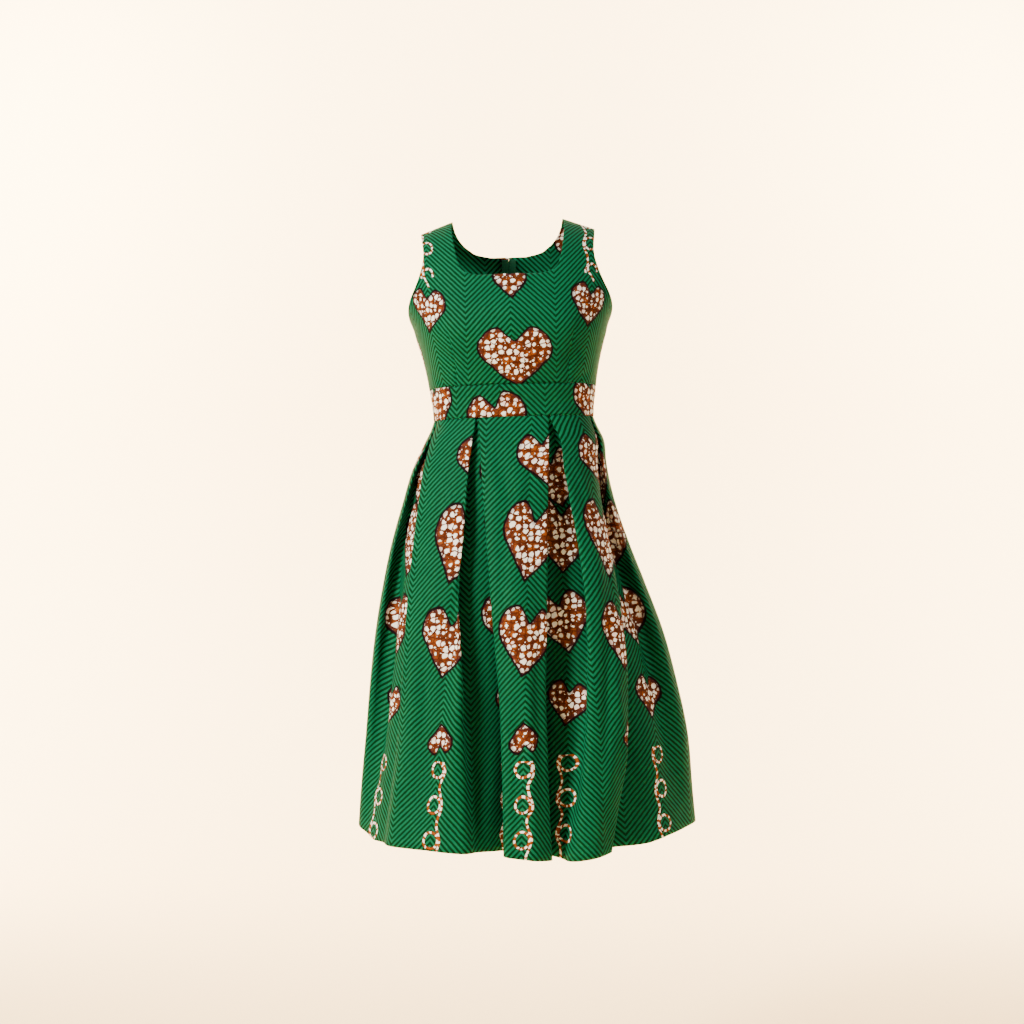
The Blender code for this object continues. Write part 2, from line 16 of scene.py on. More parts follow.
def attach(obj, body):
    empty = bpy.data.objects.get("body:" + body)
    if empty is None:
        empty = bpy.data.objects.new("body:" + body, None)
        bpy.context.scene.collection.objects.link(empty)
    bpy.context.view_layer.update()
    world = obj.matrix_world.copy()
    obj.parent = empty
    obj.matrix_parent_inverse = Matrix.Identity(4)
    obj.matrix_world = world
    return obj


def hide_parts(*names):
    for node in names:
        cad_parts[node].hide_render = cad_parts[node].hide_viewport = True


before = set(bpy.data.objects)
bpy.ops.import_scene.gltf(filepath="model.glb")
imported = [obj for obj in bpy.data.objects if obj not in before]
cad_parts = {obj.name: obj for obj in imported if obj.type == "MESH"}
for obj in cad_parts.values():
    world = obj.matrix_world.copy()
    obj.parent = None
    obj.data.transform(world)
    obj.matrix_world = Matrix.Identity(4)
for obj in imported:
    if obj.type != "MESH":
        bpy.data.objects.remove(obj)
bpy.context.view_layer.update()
print("solids:", sorted(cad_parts))

# %% [markdown]
# ## The form under the cloth
# A worn dress takes its shape from what is inside it.  That form could be sculpted, but a
# garment maker thinks in body measures taken at a few heights, so the form here is a short table
# of level sections.  Heights are drops, measured down from the shoulder seams.

# %% Body measures
Section = namedtuple("Section", "drop right left front back")
FORM = [
    Section(0.000, 0.172, 0.172, 0.000, 0.000),
    Section(0.003, 0.172, 0.172, 0.017, 0.015),
    Section(0.009, 0.172, 0.172, 0.031, 0.027),
    Section(0.020, 0.171, 0.171, 0.047, 0.040),
    Section(0.035, 0.170, 0.170, 0.062, 0.053),
    Section(0.055, 0.169, 0.169, 0.077, 0.067),
    Section(0.086, 0.168, 0.168, 0.095, 0.082),
    Section(0.118, 0.165, 0.165, 0.109, 0.092),
    Section(0.140, 0.159, 0.159, 0.118, 0.097),
    Section(0.165, 0.150, 0.150, 0.124, 0.099),
    Section(0.182, 0.1455, 0.1455, 0.124, 0.098),
    Section(0.205, 0.139, 0.139, 0.119, 0.096),
    Section(0.235, 0.1325, 0.1325, 0.108, 0.092),
    Section(0.260, 0.1285, 0.1285, 0.098, 0.089),
    Section(0.290, 0.1245, 0.1245, 0.091, 0.0865),
    Section(0.308, 0.1240, 0.1240, 0.090, 0.086),
    Section(0.347, 0.1410, 0.1390, 0.104, 0.102),
    Section(0.378, 0.1560, 0.1410, 0.114, 0.114),
    Section(0.440, 0.1760, 0.1520, 0.130, 0.134),
    Section(0.513, 0.1970, 0.1740, 0.146, 0.153),
    Section(0.572, 0.2100, 0.1950, 0.157, 0.165),
    Section(0.657, 0.2250, 0.2230, 0.164, 0.182),
    Section(0.727, 0.2340, 0.2390, 0.170, 0.195),
    Section(0.812, 0.2430, 0.2540, 0.177, 0.206),
    Section(0.905, 0.2535, 0.2590, 0.183, 0.216),
    Section(0.952, 0.2580, 0.2620, 0.186, 0.220),
]
print("body measures at %d heights" % len(FORM))

# %% [markdown]
# Several pieces meet at the same few heights and with the same small gaps, so each of these is
# named once.

# %% Shared heights and gaps
LEAN = Matrix.Rotation(radians(-1.8), 4, "Y")     # the whole dress stands a little to one side
BAND_TOP, WAIST, HEM = 0.260, 0.308, 0.952
UNDERARM = 0.165           # lowest point of the armhole
SQUARENESS = 0.03          # how far a level section is filled out towards its corners
SEAM = 0.0003              # gap between two pieces that are sewn together
CLOTH = 0.0006             # thickness of the cotton
print("bodice %.0f mm, band %.0f mm, skirt %.0f mm"
      % tuple(1000 * d for d in (BAND_TOP, WAIST - BAND_TOP, HEM - WAIST)))

# %% [markdown]
# The form has to be smooth between the rows of its table.  A cubic that takes its slopes from
# the neighbouring rows passes through every measure, and it is short enough to read.

# %% Read the form at any height
def smooth_line(places, values, at):
    """A smooth curve through points, read at a place: the slope at each point is the mean of
    the slopes on its two sides."""
    places, values = np.asarray(places, float), np.asarray(values, float)
    slopes = np.gradient(values, places)
    at = np.clip(at, places[0], places[-1])
    k = np.clip(np.searchsorted(places, at, side="right") - 1, 0, len(places) - 2)
    gap = places[k + 1] - places[k]
    s = (at - places[k]) / gap
    return (values[k] * (1 + 2 * s) * (1 - s) ** 2 + values[k + 1] * s * s * (3 - 2 * s)
            + gap * slopes[k] * s * (1 - s) ** 2 - gap * slopes[k + 1] * s * s * (1 - s))


ROOTS = [row.drop ** 0.5 for row in FORM]


def section(drop):
    """Right, left, front and back reach at a drop.  The shoulders are round, so the curve is
    taken over the root of the drop, along which they are nearly straight."""
    return [float(smooth_line(ROOTS, [row[k] for row in FORM], drop ** 0.5))
            for k in range(1, 5)]


def ring(angle, drop):
    """The level section: angle 0 is the centre front, a quarter turn is the wearer's left."""
    right, left, front, back = section(drop)
    half = np.where(np.sin(angle) < 0, right, left)
    reach = np.where(np.cos(angle) > 0, front, back)
    x = half * (np.sin(angle) + SQUARENESS * np.sin(3 * angle)) / (1 - SQUARENESS)
    y = -reach * (np.cos(angle) - SQUARENESS * np.cos(3 * angle)) / (1 - SQUARENESS)
    return x, y


waist_round = ring(np.linspace(0, 2 * pi, 721), WAIST)
print("waist: %.0f mm round" % (1000 * np.hypot(*np.diff(waist_round)).sum()))

# %% [markdown]
# ## From a grid of points to a piece of cloth
# Each piece of the dress is one cut of a flat cloth.  A cloth simulation could drape it, but the
# folds would fall differently each time and the print would have to be fitted afterwards.  So a
# flat grid is bent through worked-out points instead, and each corner of it keeps its place on
# the flat cloth as a UV coordinate, in metres.  The print then follows the grain, round every
# fold, as it does on the real thing.

# %% Bend a sheet through rows of points
def sheet_of_cloth(name, points, cloth_u, cloth_v, material, keep=None, shift=None,
                   wall=CLOTH):
    """points is an array of rows, columns and xyz.  cloth_u and cloth_v say where each point is
    on the flat cloth.  keep(row, column) picks the cells that belong to the cut, and
    shift(column) moves the print of a column of cells, as where a dart closes."""
    rows, columns = points.shape[:2]
    mesh = bpy.data.meshes.new(name)
    bm = bmesh.new()
    bmesh.ops.create_grid(bm, x_segments=columns - 1, y_segments=rows - 1, size=1)
    bm.verts.ensure_lookup_table()
    place = {}
    for vert in bm.verts:
        column = round((vert.co.x + 1) / 2 * (columns - 1))
        row = round((1 - vert.co.y) / 2 * (rows - 1))
        place[vert] = (row, column)
        vert.co = LEAN @ Vector(points[row, column])
    uv = bm.loops.layers.uv.new("cloth")
    outside = []
    for face in bm.faces:
        cells = [place[vert] for vert in face.verts]
        row, column = min(c[0] for c in cells), min(c[1] for c in cells)
        moved = shift(row, column) if shift else 0.0
        for loop in face.loops:
            r, c = place[loop.vert]
            loop[uv].uv = (cloth_u[r, c] + moved, cloth_v[r, c])
        if keep and not keep(row, column):
            outside.append(face)
    bmesh.ops.delete(bm, geom=outside, context="FACES")
    bm.to_mesh(mesh)
    bm.free()
    mesh.shade_smooth()
    mesh.materials.append(material)
    piece = bpy.data.objects.new(name, mesh)
    bpy.context.scene.collection.objects.link(piece)
    shell = piece.modifiers.new("thickness", "SOLIDIFY")
    shell.thickness = wall
    shell.offset = 0
    return piece


print("a sheet is %.1f mm thick" % (1000 * CLOTH))

# %% [markdown]
# Stitches, grooves and prints are all placed by measuring on the cloth.  Two helpers do this for
# any grid: one adds up the steps along it, and the other finds which way it faces.

# %% Measure a grid of cloth
def lerp(a, b, t):
    return a + (b - a) * t


def along(points, axis):
    """Distance run along the rows (axis 1) or down the columns (axis 0) of a grid."""
    steps = np.linalg.norm(np.diff(points, axis=axis), axis=2)
    return np.concatenate([np.zeros_like(np.take(steps, [0], axis)), np.cumsum(steps, axis)],
                          axis)


def outward(points):
    """Unit normals of a grid whose rows run down and whose columns run anticlockwise."""
    across = np.gradient(points, axis=1)
    down = np.gradient(points, axis=0)
    normal = np.cross(down, across)
    return normal / np.maximum(np.linalg.norm(normal, axis=2, keepdims=True), 1e-12)


# %% [markdown]
# Ironed cotton still shows where it has been sat in and folded.  Real creases could come from a
# simulation, but a few long soft ones, given one by one, read better from a distance.  Each is a
# shallow trough or ridge on the flat cloth, with its own place, slant, length, width and depth.

# %% Creases given one by one
Crease = namedtuple("Crease", "u v slant length width depth")
print("a crease is given by", ", ".join(Crease._fields))


def creased(points, cloth_u, cloth_v, creases, hold=1.0):
    """Pushes the cloth in (depth above 0) or out along each crease, as far as hold lets it."""
    push = np.zeros(points.shape[:2])
    for c in creases:
        slant = radians(c.slant)
        du, dv = cloth_u - c.u, cloth_v - c.v
        run = dv * cos(slant) + du * sin(slant)
        off = du * cos(slant) - dv * sin(slant)
        push += c.depth * np.exp(-(off / c.width) ** 2 - (run / (0.5 * c.length)) ** 4)
    return points - outward(points) * (hold * push)[:, :, None]


# %% [markdown]
# ## Drawing with nodes
# The print, the weave and the thread are all drawn by shader nodes, so that no picture file is
# needed and they stay sharp in close-up.  Wiring nodes by hand makes long code.  A small helper
# that adds a node and wires it in one call keeps each drawing readable.

# %% A pencil for node trees
class Pencil:
    def __init__(self, tree):
        self.tree = tree

    def node(self, kind, **settings):
        made = self.tree.nodes.new(kind)
        for name, value in settings.items():
            setattr(made, name, value)
        return made

    def wire(self, socket, value):
        if isinstance(value, bpy.types.NodeSocket):
            self.tree.links.new(value, socket)
        elif value is not None:
            socket.default_value = value

    def math(self, operation, *values):
        made = self.node("ShaderNodeMath", operation=operation)
        for socket, value in zip(made.inputs, values):
            self.wire(socket, value)
        return made.outputs[0]

    def soft(self, value, low, high):
        """0 below low and 1 above high, with a soft step between."""
        made = self.node("ShaderNodeMapRange", interpolation_type="SMOOTHSTEP")
        self.wire(made.inputs["Value"], value)
        made.inputs["From Min"].default_value = low
        made.inputs["From Max"].default_value = high
        return made.outputs["Result"]

    def mix(self, mask, first, second):
        made = self.node("ShaderNodeMix", data_type="RGBA")
        self.wire(made.inputs["Factor"], mask)
        self.wire(made.inputs[6], first)       # the colour sockets of a Mix node are A, 6,
        self.wire(made.inputs[7], second)      # and B, 7, and its colour comes out of 2
        return made.outputs[2]

    def point(self, x, y):
        made = self.node("ShaderNodeCombineXYZ")
        self.wire(made.inputs[0], x)
        self.wire(made.inputs[1], y)
        return made.outputs[0]

    def noise(self, where, scale, detail=2.0):
        made = self.node("ShaderNodeTexNoise", noise_dimensions="2D")
        self.wire(made.inputs["Vector"], where)
        made.inputs["Scale"].default_value = scale
        made.inputs["Detail"].default_value = detail
        return made.outputs["Fac"]

    def group(self, tree, **values):
        made = self.node("ShaderNodeGroup", node_tree=tree)
        for name, value in values.items():
            self.wire(made.inputs[name], value)
        return made.outputs


# %% [markdown]
# Each drawing is kept in a node group of its own, with named inputs and outputs, so that a
# material reads as a list of drawings and the weave can be used by three materials.

# %% An empty group with a pencil in it
def node_group(name, inputs, outputs):
    """An empty group with float inputs and outputs, or colours where the name says so."""
    tree = bpy.data.node_groups.new(name, "ShaderNodeTree")
    for names, way in ((inputs, "INPUT"), (outputs, "OUTPUT")):
        for label in names:
            kind = "NodeSocketColor" if "Colour" in label else "NodeSocketFloat"
            tree.interface.new_socket(label, in_out=way, socket_type=kind)
    pencil = Pencil(tree)
    return pencil, pencil.node("NodeGroupInput").outputs, pencil.node("NodeGroupOutput").inputs


# %% [markdown]
# ## The wax print
# Wax prints are dyed on both sides, with a resin that keeps the dye off.  This one has a ground
# of zigzag stripes in two greens, and on it hearts that hang on beaded cords.  The resin cracks
# and bubbles, which leaves the hearts full of pale blobs.  All sizes below are in millimetres of
# flat cloth, and the print repeats every 272 by 856.
#
# The zigzag is a distance folded to and fro.  Pingpong gives the distance from the nearest
# column of points, and a second pingpong turns the slanted height into stripes.

# %% Zigzag stripes
ZIGZAG = 136.0             # from one column of points to the next
STRIPE = 8.8               # height of a dark and a light stripe together
SLOPE = 1.02

pen, given, wanted = node_group("zigzag_stripes", ["U", "V"], ["Light"])
column = pen.math("PINGPONG", given["U"], ZIGZAG / 2)
height = pen.math("MULTIPLY_ADD", column, -SLOPE, given["V"])
wobble = pen.noise(pen.point(given["U"], given["V"]), 0.16, 1.0)
height = pen.math("MULTIPLY_ADD", wobble, 1.1, height)
stripe = pen.math("PINGPONG", pen.math("DIVIDE", height, STRIPE), 0.5)
pen.wire(wanted["Light"], pen.soft(stripe, 0.20, 0.29))
zigzag_stripes = pen.tree
print("stripes:", len(zigzag_stripes.nodes), "nodes")

# %% [markdown]
# A heart is drawn as a distance: two round lobes above, straight flanks to a point below.  With
# a true distance, the outline keeps one width all the way round whatever the heart's size.

# %% Hearts as distances
Heart = namedtuple("Heart", "u v width height tilt")
HEARTS = [
    Heart(1, -6, 52, 56, 4), Heart(132, 32, 78, 72, -6), Heart(6, 114, 114, 98, 3),
    Heart(22, 229, 84, 86, 12), Heart(134, 258, 92, 96, 14), Heart(5, 352, 94, 120, -10),
    Heart(140, 344, 100, 114, -3), Heart(1, 496, 92, 104, -7), Heart(132, 472, 86, 98, 11),
    Heart(0, 633, 48, -47, 5), Heart(137, 592, 64, 68, -8),
]
REPEAT_U, REPEAT_V = 272.0, 856.0
print("hearts in a repeat:", len(HEARTS))

# %% [markdown]
# The plain heart has sides of length one and stands on its point.  Each heart is stretched and
# leaned from it, with a little more belly, and with the notch between its lobes drawn deeper.

# %% Distance to one heart
PLAIN_WIDTH, PLAIN_HEIGHT = 1.207, 1.104
MIDDLE = 0.55              # height of the plain heart's middle over its point
SKEW = 0.07                # one lobe is a little higher than the other
BELLY, BELLY_WAVE = 0.028, 3.6
NOTCH_REACH, NOTCH_DIP = 0.30, 0.15
LOBE, LOBE_PLACE = 0.35355, (0.25, 0.75)

pen, given, wanted = node_group("heart_distance", ["U", "V", "Centre U", "Centre V", "Width",
                                                   "Height", "Lean"], ["Distance"])
scale = pen.math("DIVIDE", given["Width"], PLAIN_WIDTH)
across = pen.math("WRAP", pen.math("SUBTRACT", given["U"], given["Centre U"]),
                  REPEAT_U / 2, -REPEAT_U / 2)
up = pen.math("SUBTRACT", given["Centre V"], given["V"])
slanted = pen.math("MULTIPLY_ADD", up, given["Lean"], across)
up = pen.math("SUBTRACT", up, pen.math("MULTIPLY", across, given["Lean"]))
x = pen.math("DIVIDE", slanted, scale)
y = pen.math("DIVIDE", up, pen.math("DIVIDE", given["Height"], PLAIN_HEIGHT))
y = pen.math("ADD", y, pen.math("MULTIPLY_ADD", x, SKEW, MIDDLE))
x = pen.math("ABSOLUTE", x)
belly = pen.math("MULTIPLY", pen.math("SINE", pen.math("MULTIPLY", y, BELLY_WAVE)), BELLY)
x = pen.math("SUBTRACT", x, belly)
near = pen.math("SUBTRACT", 1.0, pen.soft(x, 0.0, NOTCH_REACH))
dip = pen.math("MULTIPLY", near, pen.soft(y, 0.45, 0.95))
y = pen.math("MULTIPLY_ADD", dip, NOTCH_DIP, y)
lobe_x, lobe_y = (pen.math("SUBTRACT", value, place) for value, place in zip((x, y), LOBE_PLACE))
lobe = pen.math("SQRT", pen.math("MULTIPLY_ADD", lobe_x, lobe_x,
                                 pen.math("MULTIPLY", lobe_y, lobe_y)))
lobe = pen.math("SUBTRACT", lobe, LOBE)
notch_y = pen.math("SUBTRACT", y, 1.0)
notch = pen.math("MULTIPLY_ADD", x, x, pen.math("MULTIPLY", notch_y, notch_y))
half = pen.math("MULTIPLY", pen.math("MAXIMUM", pen.math("ADD", x, y), 0.0), 0.5)
flank_x, flank_y = pen.math("SUBTRACT", x, half), pen.math("SUBTRACT", y, half)
flank = pen.math("MULTIPLY_ADD", flank_x, flank_x, pen.math("MULTIPLY", flank_y, flank_y))
below = pen.math("SQRT", pen.math("MINIMUM", notch, flank))
below = pen.math("MULTIPLY", below, pen.math("SIGN", pen.math("SUBTRACT", x, y)))
is_lobe = pen.math("GREATER_THAN", pen.math("ADD", x, y), 1.0)
distance = pen.math("MULTIPLY_ADD", is_lobe, pen.math("SUBTRACT", lobe, below), below)
pen.wire(wanted["Distance"], pen.math("MULTIPLY", distance, scale))
heart_distance = pen.tree
print("one heart:", len(heart_distance.nodes), "nodes")

# %% [markdown]
# The field of hearts is the least of their distances.  The group for one heart is placed once
# for each, with its own numbers.

# %% Distance to the nearest heart
DEGREE = 57.3              # the lean is a gradient, which at small angles is degrees over this
pen, given, wanted = node_group("heart_field", ["U", "V"], ["Distance"])
nearest = None
for heart in HEARTS:
    found = pen.group(heart_distance, **{"U": given["U"], "V": given["V"],
                                         "Centre U": heart.u, "Centre V": heart.v,
                                         "Width": heart.width, "Height": heart.height,
                                         "Lean": heart.tilt / DEGREE})["Distance"]
    nearest = found if nearest is None else pen.math("MINIMUM", nearest, found)
pen.wire(wanted["Distance"], nearest)
heart_field = pen.tree
print("field:", len(heart_field.nodes), "nodes")

# %% [markdown]
# Inside a heart the resin has broken into bubbles.  A Voronoi texture scatters points, and a
# disc round each point, with a radius that changes from cell to cell, gives loose pale blobs.
# Each is kept inside its own cell, so that a thin dark crack is left round it, and finer ones
# from a second scatter lie between them.

# %% Wax bubbles
BUBBLE, DROPLET = 10.4, 7.0     # sizes of the cells of the two scatters
STREW = 0.66               # how far the bubbles stray from an even grid
CRACK_HALF = 0.075         # half the least gap between two bubbles, as a part of a cell
RAGGED = 4.4               # how far noise moves the outlines

pen, given, wanted = node_group("wax_bubbles", ["U", "V"], ["Pale", "Crack", "Tint"])
flat = pen.point(given["U"], given["V"])
bend = pen.math("MULTIPLY", pen.math("SUBTRACT", pen.noise(flat, 0.16, 1.0), 0.5), RAGGED)
flat = pen.point(pen.math("ADD", given["U"], bend), pen.math("SUBTRACT", given["V"], bend))
borders = pen.node("ShaderNodeTexVoronoi", voronoi_dimensions="2D", feature="DISTANCE_TO_EDGE")
pen.wire(borders.inputs["Vector"], flat)
borders.inputs["Scale"].default_value = 1 / BUBBLE
borders.inputs["Randomness"].default_value = STREW
crack = pen.math("SUBTRACT", 1.0, pen.soft(borders.outputs["Distance"], 0.04, 0.14))
inside = pen.math("SUBTRACT", borders.outputs["Distance"], CRACK_HALF)
pale = None
for size, least, spread, strew in ((BUBBLE, 0.17, 0.29, STREW), (DROPLET, -0.02, 0.20, 0.95)):
    cells = pen.node("ShaderNodeTexVoronoi", voronoi_dimensions="2D")
    pen.wire(cells.inputs["Vector"], flat)
    cells.inputs["Scale"].default_value = 1 / size
    cells.inputs["Randomness"].default_value = strew
    tone = pen.node("ShaderNodeSeparateColor")
    pen.wire(tone.inputs[0], cells.outputs["Color"])
    radius = pen.math("MULTIPLY_ADD", tone.outputs[0], spread, least)
    depth = pen.math("SUBTRACT", radius, cells.outputs["Distance"])
    if pale is None:
        depth = pen.math("MINIMUM", depth, inside)
    blob = pen.soft(depth, -0.02, 0.06)
    pale = blob if pale is None else pen.math("MAXIMUM", pale, blob)
    tint = tone.outputs[1]
pen.wire(wanted["Pale"], pale)
pen.wire(wanted["Crack"], crack)
pen.wire(wanted["Tint"], tint)
wax_bubbles = pen.tree
print("bubbles:", len(wax_bubbles.nodes), "nodes")

# %% [markdown]
# The cords are strings of beads with a round loop beside each column of zigzag points.  The
# line's distance comes from folding the cloth's width about the middle between two columns, and
# the rings' from the distance to points that repeat down the column.

# %% Beaded cords
CORD_LENGTH = 190.0
LOOP_PITCH, LOOP_RADIUS, BEAD = 51.0, 11.8, 9.4
CORD_HALF = 2.4            # half the thickness of a cord
FAR = 99.0                 # added to a distance where the cord has ended

pen, given, wanted = node_group("beaded_cord", ["U", "V"], ["Cord", "Bead", "Edge"])
run = pen.math("ADD", given["V"], CORD_LENGTH)
run = pen.math("WRAP", run, REPEAT_V, 0.0)
wave = pen.math("SINE", pen.math("MULTIPLY", run, 2 * pi / LOOP_PITCH))
turn_in = pen.math("MULTIPLY", pen.soft(run, CORD_LENGTH - 52, CORD_LENGTH - 8), 12.0)
fold = pen.math("ABSOLUTE", pen.math("SUBTRACT", pen.math("WRAP", given["U"], REPEAT_U, 0.0),
                                     68.0))
offset = pen.math("SUBTRACT", pen.math("SUBTRACT", fold, 57.0), turn_in)
line = pen.math("ABSOLUTE", pen.math("MULTIPLY_ADD", wave, 3.6, offset))
line_end = pen.math("GREATER_THAN", run, CORD_LENGTH - 6)
line = pen.math("MULTIPLY_ADD", line_end, FAR, line)
loop_u = pen.math("PINGPONG", given["U"], ZIGZAG / 2)
loop_v = pen.math("SUBTRACT", pen.math("WRAP", pen.math("ADD", run, 14.0), LOOP_PITCH, 0.0),
                  LOOP_PITCH / 2)
reach = pen.math("SQRT", pen.math("MULTIPLY_ADD", loop_u, loop_u,
                                  pen.math("MULTIPLY", loop_v, loop_v)))
loop = pen.math("ABSOLUTE", pen.math("SUBTRACT", reach, LOOP_RADIUS))
loop_end = pen.math("GREATER_THAN", run, CORD_LENGTH - 22)
loop = pen.math("MULTIPLY_ADD", loop_end, FAR, loop)
turn = pen.math("MULTIPLY", pen.math("ARCTAN2", loop_v, loop_u), LOOP_RADIUS / BEAD)
is_loop = pen.math("LESS_THAN", loop, line)
step = pen.math("DIVIDE", run, BEAD)
beads = pen.math("MULTIPLY_ADD", is_loop, pen.math("SUBTRACT", turn, step), step)
uneven = pen.noise(pen.point(given["U"], given["V"]), 0.12, 1.0)
beads = pen.math("FRACT", pen.math("MULTIPLY_ADD", uneven, 1.3, beads))
distance = pen.math("MINIMUM", loop, line)
pen.wire(wanted["Cord"], pen.math("SUBTRACT", 1.0, pen.soft(distance, CORD_HALF - 0.5,
                                                            CORD_HALF + 0.3)))
bead = pen.math("MULTIPLY", pen.soft(beads, 0.50, 0.57),
                pen.math("SUBTRACT", 1.0, pen.soft(distance, 1.4, 2.0)))
pen.wire(wanted["Bead"], bead)
pen.wire(wanted["Edge"], pen.soft(distance, 1.2, 1.9))
beaded_cord = pen.tree
print("cords:", len(beaded_cord.nodes), "nodes")

# %% [markdown]
# ## The weave
# Up close, printed cotton is a plain weave of threads about a third of a millimetre thick.  The
# threads could be modelled, but there are ten million crossings.  Two crossed waves give their
# height for a Bump node, and the zip tape and sewing thread use the same group at other scales.

# %% Weave heights
pen, given, wanted = node_group("weave", ["U", "V", "Thread"], ["Height", "Slub"])
warp = pen.math("DIVIDE", given["U"], given["Thread"])
weft = pen.math("DIVIDE", given["V"], given["Thread"])
over = pen.math("SINE", pen.math("MULTIPLY", warp, pi))
under = pen.math("SINE", pen.math("MULTIPLY", weft, pi))
pen.wire(wanted["Height"], pen.math("MULTIPLY_ADD", pen.math("MULTIPLY", over, under), 0.5, 0.5))
streak = pen.node("ShaderNodeTexNoise", noise_dimensions="2D")
pen.wire(streak.inputs["Vector"], pen.point(warp, pen.math("MULTIPLY", weft, 0.04)))
streak.inputs["Scale"].default_value = 0.7
pen.wire(wanted["Slub"], streak.outputs["Fac"])
weave = pen.tree
print("weave:", len(weave.nodes), "nodes")

# %% [markdown]
# ## The cotton
# Dyes are easiest to judge as they look on a screen, while the shader wants linear light, so a
# helper turns one into the other.  A new material starts plain and dull: washed cotton has
# hardly any gloss.

# %% Dyes and a plain material
def shade(red, green, blue):
    """A dye colour, given as it looks on a screen, from 0 to 255."""
    return tuple((c / 255) ** 2.2 for c in (red, green, blue)) + (1.0,)


DYES = dict(light=shade(24, 97, 66), dark=shade(0, 44, 19), outline=shade(22, 10, 14),
            mauve=shade(58, 32, 38), brown=shade(92, 47, 24), orange=shade(136, 70, 26),
            pale=shade(255, 247, 230), pink=shade(246, 214, 196), crack=shade(64, 26, 16))


def new_material(name, roughness, sheen=0.0):
    material = bpy.data.materials.new(name)
    material.use_nodes = True
    pencil = Pencil(material.node_tree)
    shader = material.node_tree.nodes["Principled BSDF"]
    shader.inputs["Roughness"].default_value = roughness
    shader.inputs["Specular IOR Level"].default_value = 0.04
    shader.inputs["Sheen Weight"].default_value = sheen
    return material, pencil, shader


print("dyes:", ", ".join(DYES))

# %% [markdown]
# The print is laid on by the cloth's own coordinates, in millimetres.  The hearts and cords
# wander a few millimetres from their places, as they do on a real wax print.

# %% Places on the flat cloth
def flat_place(pencil, layer="cloth"):
    """The place on the flat cloth, in millimetres."""
    source = pencil.node("ShaderNodeUVMap", uv_map=layer)
    split = pencil.node("ShaderNodeSeparateXYZ")
    pencil.wire(split.inputs[0], source.outputs["UV"])
    return [pencil.math("MULTIPLY", split.outputs[k], 1000.0) for k in (0, 1)]


cotton, pen, shader = new_material("wax_print_cotton", 0.7)
u, v = flat_place(pen)
flat = pen.point(u, v)
drift_u = pen.math("MULTIPLY_ADD", pen.math("SUBTRACT", pen.noise(flat, 0.035), 0.5), 5.0, u)
drift_v = pen.math("MULTIPLY_ADD", pen.math("SUBTRACT", pen.noise(pen.point(v, u), 0.035), 0.5),
                   5.0, v)
repeat_v = pen.math("WRAP", drift_v, REPEAT_V - CORD_LENGTH, -CORD_LENGTH)
print("places:", len(cotton.node_tree.nodes), "nodes")

# %% [markdown]
# The layers go together in the order in which they are printed: ground stripes, cords, then the
# hearts with their dark outline, the mauve where two dyes overlap, and the bubbles.

# %% Layers of the print
light = pen.group(zigzag_stripes, U=u, V=v)["Light"]
ground = pen.mix(light, DYES["dark"], DYES["light"])
bubbles = pen.group(wax_bubbles, U=u, V=v)
cord = pen.group(beaded_cord, U=drift_u, V=drift_v)
strand = pen.mix(cord["Edge"], DYES["orange"], DYES["crack"])
strand = pen.mix(cord["Bead"], strand, DYES["pale"])
ground = pen.mix(cord["Cord"], ground, strand)
distance = pen.group(heart_field, U=drift_u, V=repeat_v)["Distance"]
patchy = pen.noise(flat, 0.07, 3.0)
fill = pen.mix(pen.soft(patchy, 0.46, 0.66), DYES["brown"], DYES["orange"])
fill = pen.mix(pen.math("MULTIPLY", bubbles["Crack"], 0.8), fill, DYES["crack"])
pale = pen.mix(pen.soft(bubbles["Tint"], 0.8, 0.95), DYES["pale"], DYES["pink"])
fill = pen.mix(bubbles["Pale"], fill, pale)
near_edge = pen.math("MULTIPLY", pen.soft(distance, -10.0, -3.0), 0.6)
fill = pen.mix(near_edge, fill, DYES["mauve"])
fill = pen.mix(pen.soft(distance, -3.6, -2.6), fill, DYES["outline"])
inside = pen.math("SUBTRACT", 1.0, pen.soft(distance, -0.7, 0.5))
colour = pen.mix(inside, ground, fill)
print("print:", len(cotton.node_tree.nodes), "nodes")

# %% [markdown]
# The cloth itself shows through the dyes.  Its slubs and a cloudy unevenness change the tone a
# little, and the weave's height goes to a Bump node.

# %% Weave and tone
threads = pen.group(weave, U=u, V=v, Thread=0.42)
worn = pen.math("MULTIPLY", pen.math("SUBTRACT", threads["Slub"], 0.5), 0.35)
cloudy = pen.math("MULTIPLY", pen.math("SUBTRACT", pen.noise(flat, 0.012, 4.0), 0.5), 0.22)
tone = pen.node("ShaderNodeHueSaturation")
pen.wire(tone.inputs["Value"], pen.math("ADD", 1.0, pen.math("ADD", worn, cloudy)))
pen.wire(tone.inputs["Color"], colour)
pen.wire(shader.inputs["Base Color"], tone.outputs["Color"])
bump = pen.node("ShaderNodeBump")
bump.inputs["Strength"].default_value = 0.25
bump.inputs["Distance"].default_value = 0.00015
pen.wire(bump.inputs["Height"], threads["Height"])
pen.wire(shader.inputs["Normal"], bump.outputs["Normal"])
print("cotton:", len(cotton.node_tree.nodes), "nodes")

# %% [markdown]
# ## The bodice
# The front is one piece and the back is two, which meet at the centre.  Each half is a grid: one
# block of columns under the neckline and one under the strap.  Cells above the neckline are left
# out, and the edges of both blocks follow the cut, so the curves are clean.

